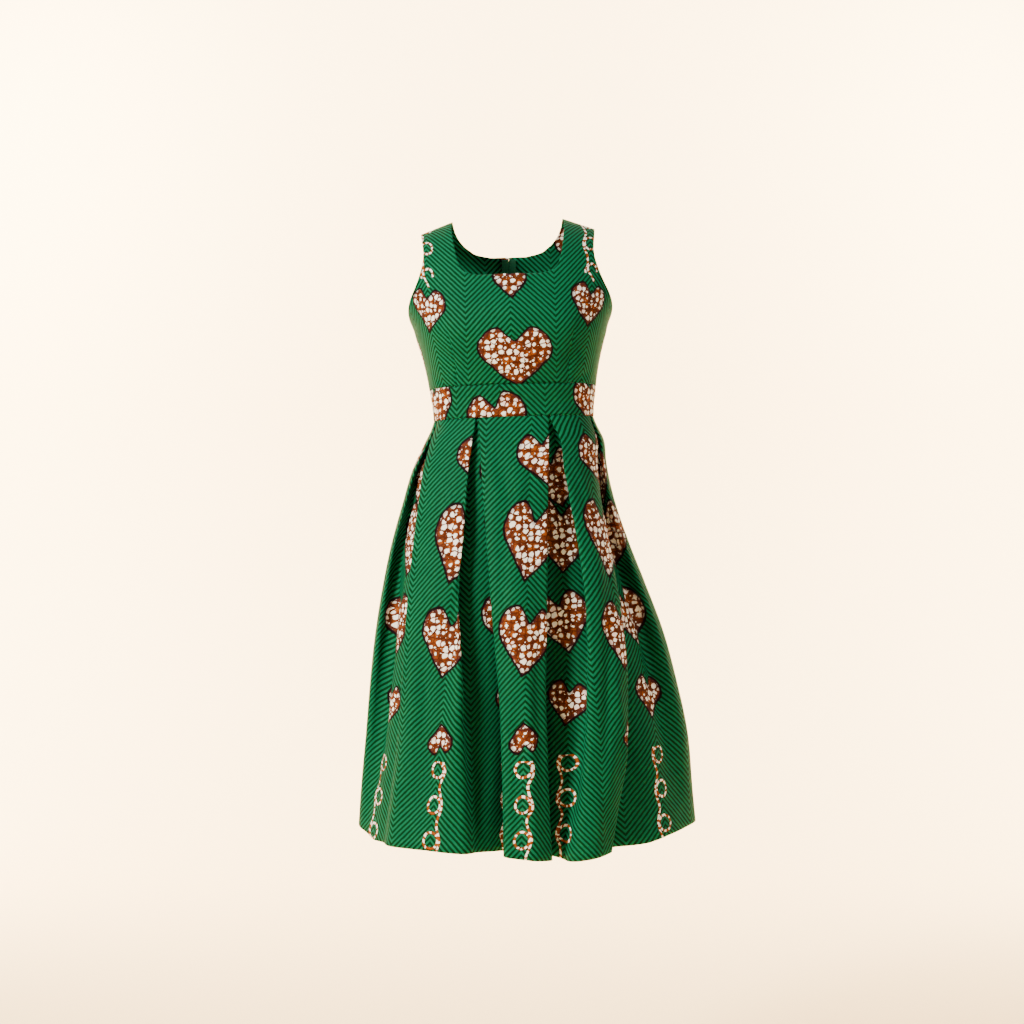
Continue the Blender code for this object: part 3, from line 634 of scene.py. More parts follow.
# %% Neck and armhole lines
Edge = namedtuple("Edge", "drop half")
FRONT_NECK = [Edge(0.000, 0.085), Edge(0.012, 0.0863), Edge(0.030, 0.0845), Edge(0.052, 0.081),
              Edge(0.072, 0.0767), Edge(0.0835, 0.072), Edge(0.0885, 0.0675), Edge(0.093, 0.060),
              Edge(0.0958, 0.048)]
BACK_NECK = [Edge(0.000, 0.085), Edge(0.012, 0.082), Edge(0.024, 0.075), Edge(0.036, 0.062),
             Edge(0.044, 0.046), Edge(0.0475, 0.028)]
FRONT_ARMHOLE = [Edge(0.000, 0.134), Edge(0.018, 0.132), Edge(0.035, 0.130), Edge(0.055, 0.1300),
                 Edge(0.070, 0.1330), Edge(0.085, 0.1375), Edge(0.100, 0.1435), Edge(0.118, 0.1515),
                 Edge(0.135, 0.1560), Edge(0.150, 0.1550), Edge(0.165, 0.1500)]
BACK_ARMHOLE = [Edge(0.000, 0.134), Edge(0.018, 0.133), Edge(0.035, 0.133), Edge(0.055, 0.134),
                Edge(0.070, 0.136), Edge(0.085, 0.139), Edge(0.100, 0.143), Edge(0.118, 0.149),
                Edge(0.135, 0.1530), Edge(0.150, 0.1545), Edge(0.165, 0.1500)]
SHOULDER_SLOPE, SHOULDER_INNER = 0.36, 0.085
DART_FULLNESS, DART_PLACE, DART_TIP, DART_SPREAD = 0.006, 0.088, 0.172, 0.036
DART_INTAKE = 0.020        # cloth that a waist dart has taken up by the waist seam
NECK_COLUMNS = 22
DART_AT = 0.247            # where the dart falls between the neck block and the side
STRAP = np.array(sorted(list(np.linspace(0, 1, 37)) + [DART_AT - 0.016, DART_AT - 0.006,
                                                       DART_AT, DART_AT + 0.006,
                                                       DART_AT + 0.016]))
print("neck %.0f mm deep in front, %.0f mm behind"
      % (1000 * FRONT_NECK[-1].drop, 1000 * BACK_NECK[-1].drop))

# %% [markdown]
# A row of the grid is one level of the form, cut off at the neckline and at the armhole.  The
# rows stand closer together where the shoulder turns over and where the neckline runs level.

# %% Rows of the bodice
def edge_at(edge, drop):
    return float(smooth_line([row.drop for row in edge], [row.half for row in edge], drop))


def angle_at(x, drop):
    angles = np.linspace(0, pi / 2, 600)
    return np.interp(x, ring(angles, drop)[0], angles)


def bodice_row(drop, neck, armhole, back):
    """One level of the left half, from the centre line to the armhole or side seam."""
    inner = edge_at(neck, min(drop, neck[-1].drop))
    first = float(angle_at(inner, drop))
    last = float(angle_at(edge_at(armhole, drop), drop)) if drop < UNDERARM else pi / 2
    under_neck = angle_at(np.linspace(0, inner, NECK_COLUMNS + 1)[:-1], drop)
    angles = np.concatenate([under_neck, lerp(first, last, STRAP)])
    front_x, front_y = ring(angles, drop)
    if back:
        x, y = ring(pi - angles, drop)
        y = y + SEAM / 2
    else:
        across, down = (front_x - DART_PLACE) / DART_SPREAD, (drop - DART_TIP) / DART_SPREAD
        swell = DART_FULLNESS * np.exp(-across ** 2 - down ** 2)
        x, y = front_x + swell * np.sin(angles), front_y - swell * np.cos(angles) - SEAM / 2
    fade = max(0.0, 1 - drop / UNDERARM)
    fall = SHOULDER_SLOPE * np.maximum(0, front_x - SHOULDER_INNER) * fade
    return np.stack([x, y, -(drop + fall)], axis=1)


def bodice_half(neck, armhole, back):
    """All levels of a half, the row at which the neckline lies, and the levels themselves."""
    bottom = neck[-1].drop
    steep = 0.7 * bottom
    levels = np.concatenate([np.linspace(0, 0.24, 26) ** 2 * (steep / 0.24 ** 2),
                             lerp(steep, bottom, np.linspace(0, 1, 13)[1:] ** 0.7),
                             np.linspace(bottom, BAND_TOP - SEAM, 46)[1:]])
    levels = np.unique(levels.round(6))
    rows = np.array([bodice_row(float(drop), neck, armhole, back) for drop in levels])
    return rows, int(np.argmin(abs(levels - bottom))), levels


# %% [markdown]
# The waist darts close a wedge of cloth below the bust, so the print jumps across them, and the
# dart itself shows as a fine groove.  At its own edges the cloth is turned under, so it curls
# in a little there, which catches the light as a pressed edge does.

# %% Grooves and turned edges
def groove(points, line, depth, width):
    """Presses a groove or a turned edge into the cloth; line is each point's distance from it."""
    return points - outward(points) * (depth * np.exp(-(line / width) ** 2))[:, :, None]


TURNED_EDGE = (0.0009, 0.0024)       # depth and width
BACK_SEAM = (0.0012, 0.0030)
DART_SEAM = (0.0011, 0.0022)
BAND_EDGE = (0.0009, 0.0022)
WAIST_EDGE = (0.0010, 0.0026)
print("grooves are %.1f to %.1f mm deep" % (1000 * TURNED_EDGE[0], 1000 * BACK_SEAM[0]))

# %% [markdown]
# The print runs level round the bodice, so its height is taken once, down a plumb line on the
# front or the back, and given to all points at that level.  Across, it is measured along each
# row from the centre, and eased a little towards the sides.

# %% The place of the print
EASE = 4.0                 # how the cloth is eased round the bust, so its print closes up
PLUMB = 0.100              # the print's height is taken down a line this far from the centre


def bodice_cloth(points, centre, start_u, start_v):
    """Flat coordinates: u runs out from the centre column, v down to the waist row."""
    run = along(points, 1)
    cloth_u = run - run[:, centre:centre + 1]
    cloth_u = cloth_u * (1 + EASE * cloth_u ** 2) + start_u
    plumb = []
    for row in points:
        order = np.argsort(abs(row[:, 0]))
        plumb.append([np.interp(PLUMB, abs(row[order, 0]), row[order, k]) for k in (1, 2)])
    plumb = np.array(plumb)
    deep = np.concatenate([[0], np.cumsum(np.hypot(*np.diff(plumb, axis=0).T))])
    cloth_v = np.interp(-points[:, :, 2], -plumb[:, 1], deep - deep[-1] + start_v)
    return cloth_u, cloth_v


print("plumb line %.0f mm from the centre" % (1000 * PLUMB))

# %% [markdown]
# The front is one sheet, so its two halves are joined before it is bent.  The darts are pressed
# in only below the bust, and drag lines run from the bust and the armholes towards the waist.

# %% Sew the front
FRONT_PRINT = 0.155        # height of the print at the waist seam
half, hollow, levels = bodice_half(FRONT_NECK, FRONT_ARMHOLE, False)
mirrored = half[:, :0:-1] * np.array([-1, 1, 1])
points = np.concatenate([mirrored, half], axis=1)
middle = half.shape[1] - 1
dart_columns = [middle - NECK_COLUMNS - int(np.argmin(abs(STRAP - DART_AT))),
                middle + NECK_COLUMNS + int(np.argmin(abs(STRAP - DART_AT)))]
cloth_u, cloth_v = bodice_cloth(points, middle, 0.000, FRONT_PRINT)
for dart in dart_columns:
    line = cloth_u - cloth_u[:, dart:dart + 1]
    low = np.clip((levels - 0.182) / 0.03, 0, 1)[:, None]
    points = groove(points, line + 9 * (low == 0), *DART_SEAM)
FRONT_CREASES = [
    Crease(-0.118, 0.150, 62, 0.060, 0.007, 0.0016),
    Crease(0.120, 0.146, -60, 0.064, 0.007, 0.0016),
    Crease(-0.095, 0.120, 40, 0.070, 0.010, 0.0018),
    Crease(0.098, 0.112, -38, 0.066, 0.010, 0.0018),
    Crease(-0.045, 0.168, 84, 0.080, 0.006, 0.0010),
    Crease(0.050, 0.172, -84, 0.090, 0.006, 0.0010),
    Crease(0.000, 0.180, 90, 0.120, 0.005, 0.0009),
    Crease(-0.112, 0.060, 20, 0.060, 0.009, 0.0014),
    Crease(0.113, 0.056, -24, 0.060, 0.009, 0.0014),
    Crease(-0.020, 0.040, 80, 0.090, 0.010, -0.0010),
]
points = creased(points, cloth_u, cloth_v, FRONT_CREASES)
points = groove(points, along(points, 0), *TURNED_EDGE)
first_dart, last_dart = dart_columns


def dart_shift(row, column):
    """The print beyond a dart has moved by the cloth that the dart took up."""
    taken = DART_INTAKE * float(np.clip((levels[row] - 0.178) / (BAND_TOP - 0.178), 0, 1))
    return -taken if column < first_dart else taken if column >= last_dart else 0.0


bodice_front = sheet_of_cloth(
    "front_bodice_cloth", points, cloth_u, cloth_v, cotton,
    keep=lambda row, column: row >= hollow or abs(column + 0.5 - middle) > NECK_COLUMNS,
    shift=dart_shift)
bodice_halves = [("front", points[:, middle:], 1, hollow),
                 ("front", points[:, middle::-1], -1, hollow)]
print("bodice rows: %d, columns across the front: %d" % points.shape[:2])

# %% [markdown]
# The back halves are cut from other places in the print, and each turns its centre edge in, so
# the seam over the zip shows as a line.

# %% Sew the back
BACK_PRINT = 0.346         # height of the print at the waist seam
BACK_LIFT = 0.161          # and where the creases' heights are measured from
back_pieces = []
half, hollow, levels = bodice_half(BACK_NECK, BACK_ARMHOLE, True)
BACK_CREASES = [Crease(0.118, 0.140, 60, 0.060, 0.007, 0.0016),
                Crease(0.090, 0.175, 75, 0.080, 0.006, 0.0014),
                Crease(0.060, 0.110, 50, 0.090, 0.010, 0.0016),
                Crease(0.020, 0.176, 86, 0.060, 0.006, 0.0010)]
for side, name in ((1, "left"), (-1, "right")):
    points = half * np.array([side, 1, 1]) + np.array([side * SEAM / 2, 0, 0])
    if side > 0:
        points = points[:, ::-1]
    centre = points.shape[1] - 1 if side > 0 else 0
    cloth_u, cloth_v = bodice_cloth(points, centre, 0.0, 0.0)
    start_u = 0.136 if side > 0 else 0.030
    cloth_v = cloth_v + BACK_PRINT
    outer = abs(cloth_u)
    points = groove(points, outer, *BACK_SEAM)
    points = creased(points, outer, cloth_v - BACK_LIFT, BACK_CREASES)
    points = groove(points, along(points, 0), *TURNED_EDGE)
    bodice_halves.append(("back_" + name, points[:, ::-side], -side, hollow))
    keep = ((lambda row, column, h=hollow: row >= h or column < len(STRAP) - 1) if side > 0 else
            (lambda row, column, h=hollow: row >= h or column >= NECK_COLUMNS))
    back_pieces.append(sheet_of_cloth("back_bodice_cloth_" + name, points, cloth_u + start_u,
                                      cloth_v, cotton, keep=keep))
print("back pieces:", len(back_pieces))

# %% [markdown]
# ## The waistband
# A straight-cut band, sewn between bodice and skirt.  Its own cloth comes from another place
# in the print, so nothing lines up across its seams, and that is how the eye finds it.

# %% Cut the waistband
def band_points(first, last, columns, shift):
    rows = []
    for drop in np.linspace(BAND_TOP, WAIST - SEAM, 13):
        x, y = ring(np.linspace(first, last, columns), drop)
        rows.append(np.stack([x + shift[0], y + shift[1], np.full(columns, -drop)], axis=1))
    return np.array(rows)


BAND_CREASES = [Crease(-0.05, 0.022, 82, 0.07, 0.008, 0.0009),
                Crease(0.07, 0.030, -80, 0.08, 0.008, 0.0009),
                Crease(0.02, 0.014, 88, 0.06, 0.006, -0.0006)]
gap = SEAM / 2
band_pieces = []
for name, first, last, shift, start_u, start_v in (
        ("waistband_cloth_front", -pi / 2, pi / 2, (0, -gap), 0.156, 0.200),
        ("waistband_cloth_back_left", pi / 2, pi, (gap, gap), 0.180, 0.446),
        ("waistband_cloth_back_right", pi, 3 * pi / 2, (-gap, gap), 0.060, 0.276)):
    columns = 181 if name.endswith("front") else 91
    points = band_points(first, last, columns, shift)
    run = along(points, 1)
    centre = columns // 2 if name.endswith("front") else 0
    cloth_u = run - run[:, centre:centre + 1]
    cloth_v = along(points, 0)
    deep = cloth_v[-1, 0]
    for edge in (cloth_v, deep - cloth_v):
        points = groove(points, edge, *BAND_EDGE)
    points = creased(points, cloth_u, cloth_v, BAND_CREASES)
    band_pieces.append(sheet_of_cloth(name, points, cloth_u + start_u, cloth_v + start_v, cotton))
print("band pieces:", len(band_pieces))

# %% [markdown]
# ## The skirt
# The skirt is nearly two metres of cloth, laid into eight inverted box pleats and sewn to a
# waist of about seventy centimetres.  In plan, each level of it is a line of fixed length that
# runs along the form, turns back under itself at a fold, runs along the underlay and turns
# again.  At the waist the folds lie flat.  Lower down the form is wider, so they open, until the
# cloth goes exactly round.  A heading, the direction in which the cloth runs at each place along
# it, describes such a line best, because walking along headings never stretches the cloth.
#
# Each pleat has a place at the waist and two depths, one to each side.  How it hangs at the hem
# is given with it: where its folds come to lie, and how its panels and its underlay slope.

# %% The pleats and how they hang
Pleat = namedtuple("Pleat", "place depth_in depth_out")
Hang = namedtuple("Hang", "fold_in fold_out depth_in depth_out nip crest "
                          "fall behind_in underlay behind_out rise")
Quarter = namedtuple("Quarter", "start way pleats hangs")
FRONT_PLEATS = [Pleat(0.055, 0.051, 0.045), Pleat(0.140, 0.033, 0.029)]
BACK_PLEATS = [Pleat(0.055, 0.040, 0.044), Pleat(0.138, 0.030, 0.028)]
QUARTERS = {
    "front_left": Quarter(0, 1, FRONT_PLEATS, [
        Hang(0.054, 0.142, 0.043, 0.025, 0.009, 0.14, 50, 109, 0, 75, 0),
        Hang(0.231, 0.461, 0.045, 0.020, 0.000, 0.35, 48, 139, 0, 5, 17)]),
    "front_right": Quarter(0, -1, FRONT_PLEATS, [
        Hang(0.042, 0.226, 0.068, 0.018, 0.006, 0.70, 48, 134, 45, 69, 0),
        Hang(0.368, 0.452, 0.006, 0.016, 0.000, 0.80, 0, 110, 13, 34, 7)]),
    "back_left": Quarter(pi, -1, BACK_PLEATS, [
        Hang(0.050, 0.200, 0.030, 0.011, 0.008, 0.40, 26, 140, 14, 60, 18),
        Hang(0.265, 0.385, 0.027, 0.009, 0.000, 0.50, 26, 122, 14, 50, 16)]),
    "back_right": Quarter(pi, 1, BACK_PLEATS, [
        Hang(0.058, 0.208, 0.031, 0.013, 0.008, 0.40, 26, 140, 14, 60, 18),
        Hang(0.288, 0.396, 0.028, 0.010, 0.000, 0.50, 26, 122, 14, 50, 16)]),
}
print("pleats:", sum(len(quarter.pleats) for quarter in QUARTERS.values()))

# %% [markdown]
# A few numbers say how pressed pleats give way on their way down.  They stay flat for a short
# while, then the folds drift, the bends grow rounder and the layers turn open, each at its pace.

# %% How a pleat gives way
PLEAT_GAP = 0.003          # what the two folds of a pleat leave between them at the waist
LAYER_PITCH = 0.0024       # distance between folded layers at the waist
BEND_GROWTH = 0.020        # how much longer a fold's bend has grown by the hem
CREST_WIDTH = 0.35         # part of a panel over which it goes from its rise to its fall
HELD = 0.02                # part of the skirt's length along which the pleats stay pressed flat
DRIFT_POWER, FOLD_POWER, TURN_POWER, SLACK_POWER = 1.6, 0.45, 1.2, 0.8
ROW_POWER, WALK_STEPS = 1.6, 1400
print("pressed flat for %.0f mm" % (1000 * HELD * (HEM - WAIST)))

# %% [markdown]
# The cloth is followed in the form's own terms: how far round it has come, and how deep inside
# it lies.  So the form's section is first laid out as a track with its outward direction.

# %% The track round the form
Track = namedtuple("Track", "arc x y out_x out_y curve angle length")


def track(quarter, drop):
    """The form's section along a quarter, from its centre line and a little past both ends."""
    turns = np.linspace(-0.6, pi / 2 + 0.5, 500)
    x, y = ring(quarter.start + quarter.way * turns, drop)
    arc = np.concatenate([[0], np.cumsum(np.hypot(np.diff(x), np.diff(y)))])
    arc -= np.interp(0, turns, arc)
    along_x, along_y = np.gradient(x, arc), np.gradient(y, arc)
    curve = np.abs(np.gradient(np.unwrap(np.arctan2(along_y, along_x)), arc))
    side = np.sign(along_y * x - along_x * y)
    length = float(np.interp(pi / 2, turns, arc))
    return Track(arc, x, y, along_y * side, -along_x * side, curve, turns, length)


def quarter_cloth(quarter):
    taken = sum(2 * (p.depth_in + p.depth_out) + PLEAT_GAP for p in quarter.pleats)
    return track(quarter, WAIST).length - PLEAT_GAP * len(quarter.pleats) + taken


print("cloth in a front quarter: %.0f mm" % (1000 * quarter_cloth(QUARTERS["front_left"])))

# %% [markdown]
# At every level the four folds of a pleat have their places along the cloth, and between them
# the cloth has a heading: along the form on a panel, nearly straight back behind a fold.  The
# headings are blurred over the length of a bend, which rounds the folds.

# %% Folds and headings
def fold_marks(quarter, t, openness):
    """The four folds of each pleat, as places along the cloth."""
    marks, taken, drift = [], 0.0, t ** DRIFT_POWER
    for pleat, hang in zip(quarter.pleats, quarter.hangs):
        width = 2 * (pleat.depth_in + pleat.depth_out) + PLEAT_GAP
        first = lerp(pleat.place - PLEAT_GAP / 2 + taken, hang.fold_in, drift)
        first -= hang.nip * sin(pi * t ** 1.3)
        last = lerp(pleat.place - PLEAT_GAP / 2 + taken + width, hang.fold_out, drift)
        taken += width - PLEAT_GAP
        depth_in = max(0.001, lerp(pleat.depth_in, hang.depth_in, openness))
        depth_out = max(0.001, lerp(pleat.depth_out, hang.depth_out, openness))
        marks.append((first, first + depth_in, last - depth_out, last))
    return marks


def bend_length(t):
    return LAYER_PITCH * pi / 2 + BEND_GROWTH * t ** 1.3


def headings(quarter, t, openness, places):
    """Direction of the cloth at each place: 0 along the form, negative inwards."""
    cloth = places[-1]
    heading = np.zeros_like(places)
    unfolded = (max(0, t - HELD) / (1 - HELD)) ** FOLD_POWER
    turned, slack = t ** TURN_POWER, t ** SLACK_POWER

    def stretch(first, last, slope, slope_after=None, crest=0.5):
        inside = (places >= first) & (places <= last)
        if slope_after is None:
            heading[inside] = radians(slope)
            return
        part = (places[inside] - first) / max(last - first, 1e-6)
        over = np.clip((part - crest) / CREST_WIDTH + 0.5, 0, 1)
        heading[inside] = np.radians(lerp(slope, slope_after, over))

    panel, rise = 0.0, 0.0
    for hang, (m0, m1, m2, m3) in zip(quarter.hangs, fold_marks(quarter, t, openness)):
        stretch(panel, m0, slack * rise, -slack * hang.fall, hang.crest)
        stretch(m0, m1, -lerp(180, hang.behind_in, unfolded))
        stretch(m1, m2, turned * hang.underlay)
        stretch(m2, m3, lerp(180, hang.behind_out, turned))
        panel, rise = m3, hang.rise
    stretch(panel, cloth, slack * rise, 0)

    step = places[1] - places[0]
    wide = max(1, round(bend_length(t) / step))
    narrow = max(1, round(0.6 * bend_length(t) * t / step))
    kernel = np.convolve(np.ones(wide) / wide, np.ones(narrow) / narrow)
    pad = len(kernel)
    mirrored = np.concatenate([-heading[pad:0:-1], heading, -heading[-2:-pad - 2:-1]])
    return np.convolve(mirrored, kernel, "same")[pad:-pad]


print("a bend is %.1f mm long at the waist, %.0f mm at the hem"
      % (1000 * bend_length(0), 1000 * bend_length(1)))

# %% [markdown]
# Walking along the headings gives the line of the cloth.  How far the pleats stand open isn't
# known beforehand, so it is found by halving: open more while the cloth comes too short round
# the form, and less when it comes too far.

# %% Walk the cloth and settle it
def walk(quarter, t, openness, line):
    """Distance come along the form, and depth inside it, at each place along the cloth."""
    places = np.linspace(0, quarter_cloth(quarter), WALK_STEPS)
    heading = headings(quarter, t, openness, places)
    middle = (heading[1:] + heading[:-1]) / 2
    depth = np.concatenate([[0], np.cumsum(np.sin(middle) * places[1])])
    depth -= depth[-1] * places / places[-1]
    forward = np.cos(middle) * places[1]
    come = np.concatenate([[0], np.cumsum(forward)])
    for _ in range(2):
        curve = np.interp((come[1:] + come[:-1]) / 2, line.arc, line.curve)
        tight = 1 + curve * (depth[1:] + depth[:-1]) / 2
        come = np.concatenate([[0], np.cumsum(forward / tight)])
    return places, come, depth


def settle(quarter, levels):
    """How far the pleats stand open at each level, evened out below the hips."""
    settled = []
    for t in levels:
        line = track(quarter, lerp(WAIST, HEM, t))
        shut, wide_open = -0.3, 1.3
        for _ in range(20):
            openness = (shut + wide_open) / 2
            places, come, depth = walk(quarter, t, openness, line)
            if come[-1] < line.length:
                shut = openness
            else:
                wide_open = openness
        settled.append(lerp(openness, 1, min(1, max(0, (t - 0.55) / 0.35))))
    for _ in range(3):
        padded = settled + [settled[-1]]
        for k in range(4, len(settled)):
            settled[k] = (padded[k - 1] + 2 * padded[k] + padded[k + 1]) / 4
    return settled


# %% [markdown]
# The hem isn't level: it dips in front and rises over the hips, so it is given as a short table
# of drops round the dress.

# %% The hem line
Hem = namedtuple("Hem", "angle drop")
HEM_LINE = [Hem(-180, 0.915), Hem(-130, 0.907), Hem(-105, 0.906), Hem(-88, 0.920),
            Hem(-68, 0.938), Hem(-55, 0.938), Hem(-32, 0.939), Hem(-16, 0.944), Hem(-7, 0.949),
            Hem(0, 0.953), Hem(7, 0.958), Hem(12, 0.962), Hem(17, 0.959), Hem(27, 0.954),
            Hem(32, 0.952), Hem(48, 0.951), Hem(63, 0.944), Hem(90, 0.938), Hem(110, 0.930),
            Hem(140, 0.918), Hem(180, 0.915)]


def hem_drop(angle):
    """Drop of the hem at an angle round the dress."""
    turned = (np.degrees(angle) + 180) % 360 - 180
    return np.interp(turned, [mark.angle for mark in HEM_LINE], [mark.drop for mark in HEM_LINE])


print("hem: %.0f mm down in front, %.0f mm behind" % (1000 * hem_drop(0), 1000 * hem_drop(pi)))

# %% [markdown]
# A fine grid is then laid over each quarter.  Its columns keep close together across every bend
# and its rows run from waist to hem, so the same columns follow each fold all the way down.

# %% Lay out the quarters of the skirt
FILL = [12, 8, 16, 8, 14, 6, 10, 6, 9]     # columns added along each stretch between bends
BEND_COLUMNS = 9           # and across a bend
SKIRT_ROWS = 88
SETTLED_AT = 12            # levels, besides the first, at which the openness is worked out


def lay_row(quarter, t, openness, columns_at):
    line = track(quarter, lerp(WAIST, HEM, t))
    places, come, depth = walk(quarter, t, openness, line)
    come *= line.length / come[-1]
    x = np.interp(come, line.arc, line.x) + depth * np.interp(come, line.arc, line.out_x)
    y = np.interp(come, line.arc, line.y) + depth * np.interp(come, line.arc, line.out_y)
    angle = quarter.start + quarter.way * np.interp(come, line.arc, line.angle)
    z = -lerp(WAIST, hem_drop(angle), t)
    return np.stack([np.interp(columns_at, places, value) for value in (x, y, z)], axis=1)


def column_places(quarter, t, openness):
    marks = [mark for pleat in fold_marks(quarter, t, openness) for mark in pleat]
    ends = [0.0] + marks + [quarter_cloth(quarter)]
    reach = [0.0]
    for before, mark, after in zip(ends, ends[1:], ends[2:]):
        reach.append(min(bend_length(t) / 2, 0.45 * (mark - before), 0.45 * (after - mark)))
    reach.append(0.0)
    places = []
    for k in range(len(ends) - 1):
        places += list(np.linspace(ends[k] + reach[k], ends[k + 1] - reach[k + 1], FILL[k] + 2))
        if k < len(marks):
            bend = np.linspace(ends[k + 1] - reach[k + 1], ends[k + 1] + reach[k + 1],
                               BEND_COLUMNS)
            places += list(bend[1:-1])
    return np.array(places)


def lay_quarter(name):
    quarter = QUARTERS[name]
    knots = [(k / SETTLED_AT) ** ROW_POWER for k in range(SETTLED_AT + 1)]
    open_at = settle(quarter, knots)
    points, cloth_u = [], []
    for k in range(SKIRT_ROWS + 1):
        t = (k / SKIRT_ROWS) ** 1.15
        openness = float(smooth_line(knots, open_at, t))
        columns = column_places(quarter, t, openness)
        points.append(lay_row(quarter, t, openness, columns))
        cloth_u.append(columns)
    points, cloth_u = np.array(points), np.array(cloth_u)
    cloth_v = -(points[:, :, 2] + WAIST)
    return points, cloth_u, cloth_v


laid = {name: lay_quarter(name) for name in QUARTERS}
for name, (points, cloth_u, cloth_v) in laid.items():
    print("%s: %.0f mm of cloth, %d columns" % (name, 1000 * cloth_u[0, -1], points.shape[1]))

# %% [markdown]
# The two front quarters are one cut, and each back quarter is its own.  The waist edge is
# turned under at its seam, the hem is turned up and stitched 20 mm above the edge, and a few
# long soft creases break up the panels.

# %% Creases of the skirt
HEM_DEPTH = 0.020
SEAM_HOLD = 0.040          # the creases die away this near to a seam, so that it stays closed
PRINT_WAIST = 0.163        # the print's height at the waist seam
OFF_GRAIN = 0.057          # the skirt was cut a little off the grain
PANEL_CREASES = [
    Crease(0.030, 0.26, 3, 0.34, 0.010, 0.0022), Crease(0.010, 0.42, -4, 0.36, 0.014, -0.0030),
    Crease(0.052, 0.50, 2, 0.26, 0.008, 0.0018), Crease(0.275, 0.22, 6, 0.30, 0.010, 0.0026),
    Crease(0.305, 0.40, -3, 0.34, 0.013, 0.0034), Crease(0.255, 0.50, 5, 0.26, 0.010, -0.0026),
    Crease(0.340, 0.34, 4, 0.36, 0.012, 0.0030), Crease(0.150, 0.44, 2, 0.34, 0.014, 0.0034),
    Crease(0.110, 0.52, -5, 0.22, 0.010, -0.0026), Crease(0.430, 0.40, -4, 0.40, 0.014, 0.0034),
    Crease(0.470, 0.28, 3, 0.40, 0.010, 0.0022), Crease(0.200, 0.56, 8, 0.14, 0.012, 0.0024),
    Crease(0.285, 0.10, 12, 0.14, 0.008, 0.0016), Crease(0.025, 0.09, -14, 0.12, 0.008, 0.0014),
]
FRONT_TROUGHS = [
    Crease(-0.268, 0.400, -7.5, 0.36, 0.015, 0.0100),
    Crease(-0.305, 0.480, -5, 0.30, 0.017, 0.0070),
    Crease(0.236, 0.385, -13, 0.28, 0.014, 0.0080),
    Crease(0.330, 0.420, 6, 0.34, 0.018, 0.0080),
    Crease(-0.008, 0.530, -3, 0.26, 0.013, 0.0050),
    Crease(-0.430, 0.430, -4, 0.40, 0.018, 0.0070),
    Crease(0.018, 0.330, 2, 0.34, 0.012, 0.0030),
]
BACK_TROUGHS = [
    Crease(0.250, 0.42, 7, 0.36, 0.015, 0.0080), Crease(0.035, 0.46, 4, 0.34, 0.014, 0.0050),
    Crease(0.340, 0.46, 5, 0.34, 0.018, 0.0080), Crease(0.430, 0.42, 4, 0.38, 0.018, 0.0060),
]
print("creases on the front: %d" % (2 * len(PANEL_CREASES) + len(FRONT_TROUGHS)))

# %% [markdown]
# Both sides of the front take the same panel creases, mirrored, and its deeper troughs differ
# from side to side, as they do on a worn skirt.  Near a seam the creases die away, so that two
# pieces still meet there.

# %% Sew the skirt
def mirrored_crease(c, moved=0.0):
    return c._replace(u=-c.u + moved, slant=-c.slant)


def finish_skirt(points, cloth_u, cloth_v, creases):
    points = groove(points, cloth_v, *WAIST_EDGE)
    deep = cloth_v[-1:, :] - cloth_v
    points = groove(points, deep - HEM_DEPTH, *TURNED_EDGE)
    from_seam = np.minimum(abs(cloth_u - cloth_u[:, :1]), abs(cloth_u[:, -1:] - cloth_u))
    hold = np.clip(from_seam / SEAM_HOLD, 0, 1)
    return creased(points, cloth_u, cloth_v, creases, hold * hold * (3 - 2 * hold))


skirt_pieces = []
right, left = laid["front_right"], laid["front_left"]
points = np.concatenate([right[0][:, :0:-1], left[0]], axis=1)
points[:, :, 1] -= gap
cloth_u = np.concatenate([-right[1][:, :0:-1], left[1]], axis=1)
cloth_v = np.concatenate([right[2][:, :0:-1], left[2]], axis=1)
middle = right[0].shape[1] - 1
points = finish_skirt(points, cloth_u, cloth_v, FRONT_TROUGHS + PANEL_CREASES
                      + [mirrored_crease(c, 0.006) for c in PANEL_CREASES])
skirt_pieces.append((sheet_of_cloth("front_skirt_cloth", points,
                                    cloth_u - 0.027 + OFF_GRAIN * cloth_v,
                                    cloth_v + PRINT_WAIST, cotton), points, cloth_u, cloth_v))
for name, side, start_u in (("back_left", 1, 0.136), ("back_right", -1, 0.010)):
    points, cloth_u, cloth_v = laid[name]
    points = points + np.array([side * gap, gap, 0])
    if side > 0:
        points, cloth_u, cloth_v = points[:, ::-1], -cloth_u[:, ::-1], cloth_v[:, ::-1]
    points = groove(points, abs(cloth_u), *BACK_SEAM)
    creases = PANEL_CREASES + BACK_TROUGHS
    if side > 0:
        creases = [mirrored_crease(c, -0.008) for c in creases]
    points = finish_skirt(points, cloth_u, cloth_v, creases)
    piece = sheet_of_cloth("back_skirt_cloth_" + name[5:], points,
                           cloth_u + start_u + OFF_GRAIN * cloth_v,
                           cloth_v + PRINT_WAIST + 0.05, cotton)
    skirt_pieces.append((piece, points, cloth_u, cloth_v))
print("skirt pieces:", len(skirt_pieces))
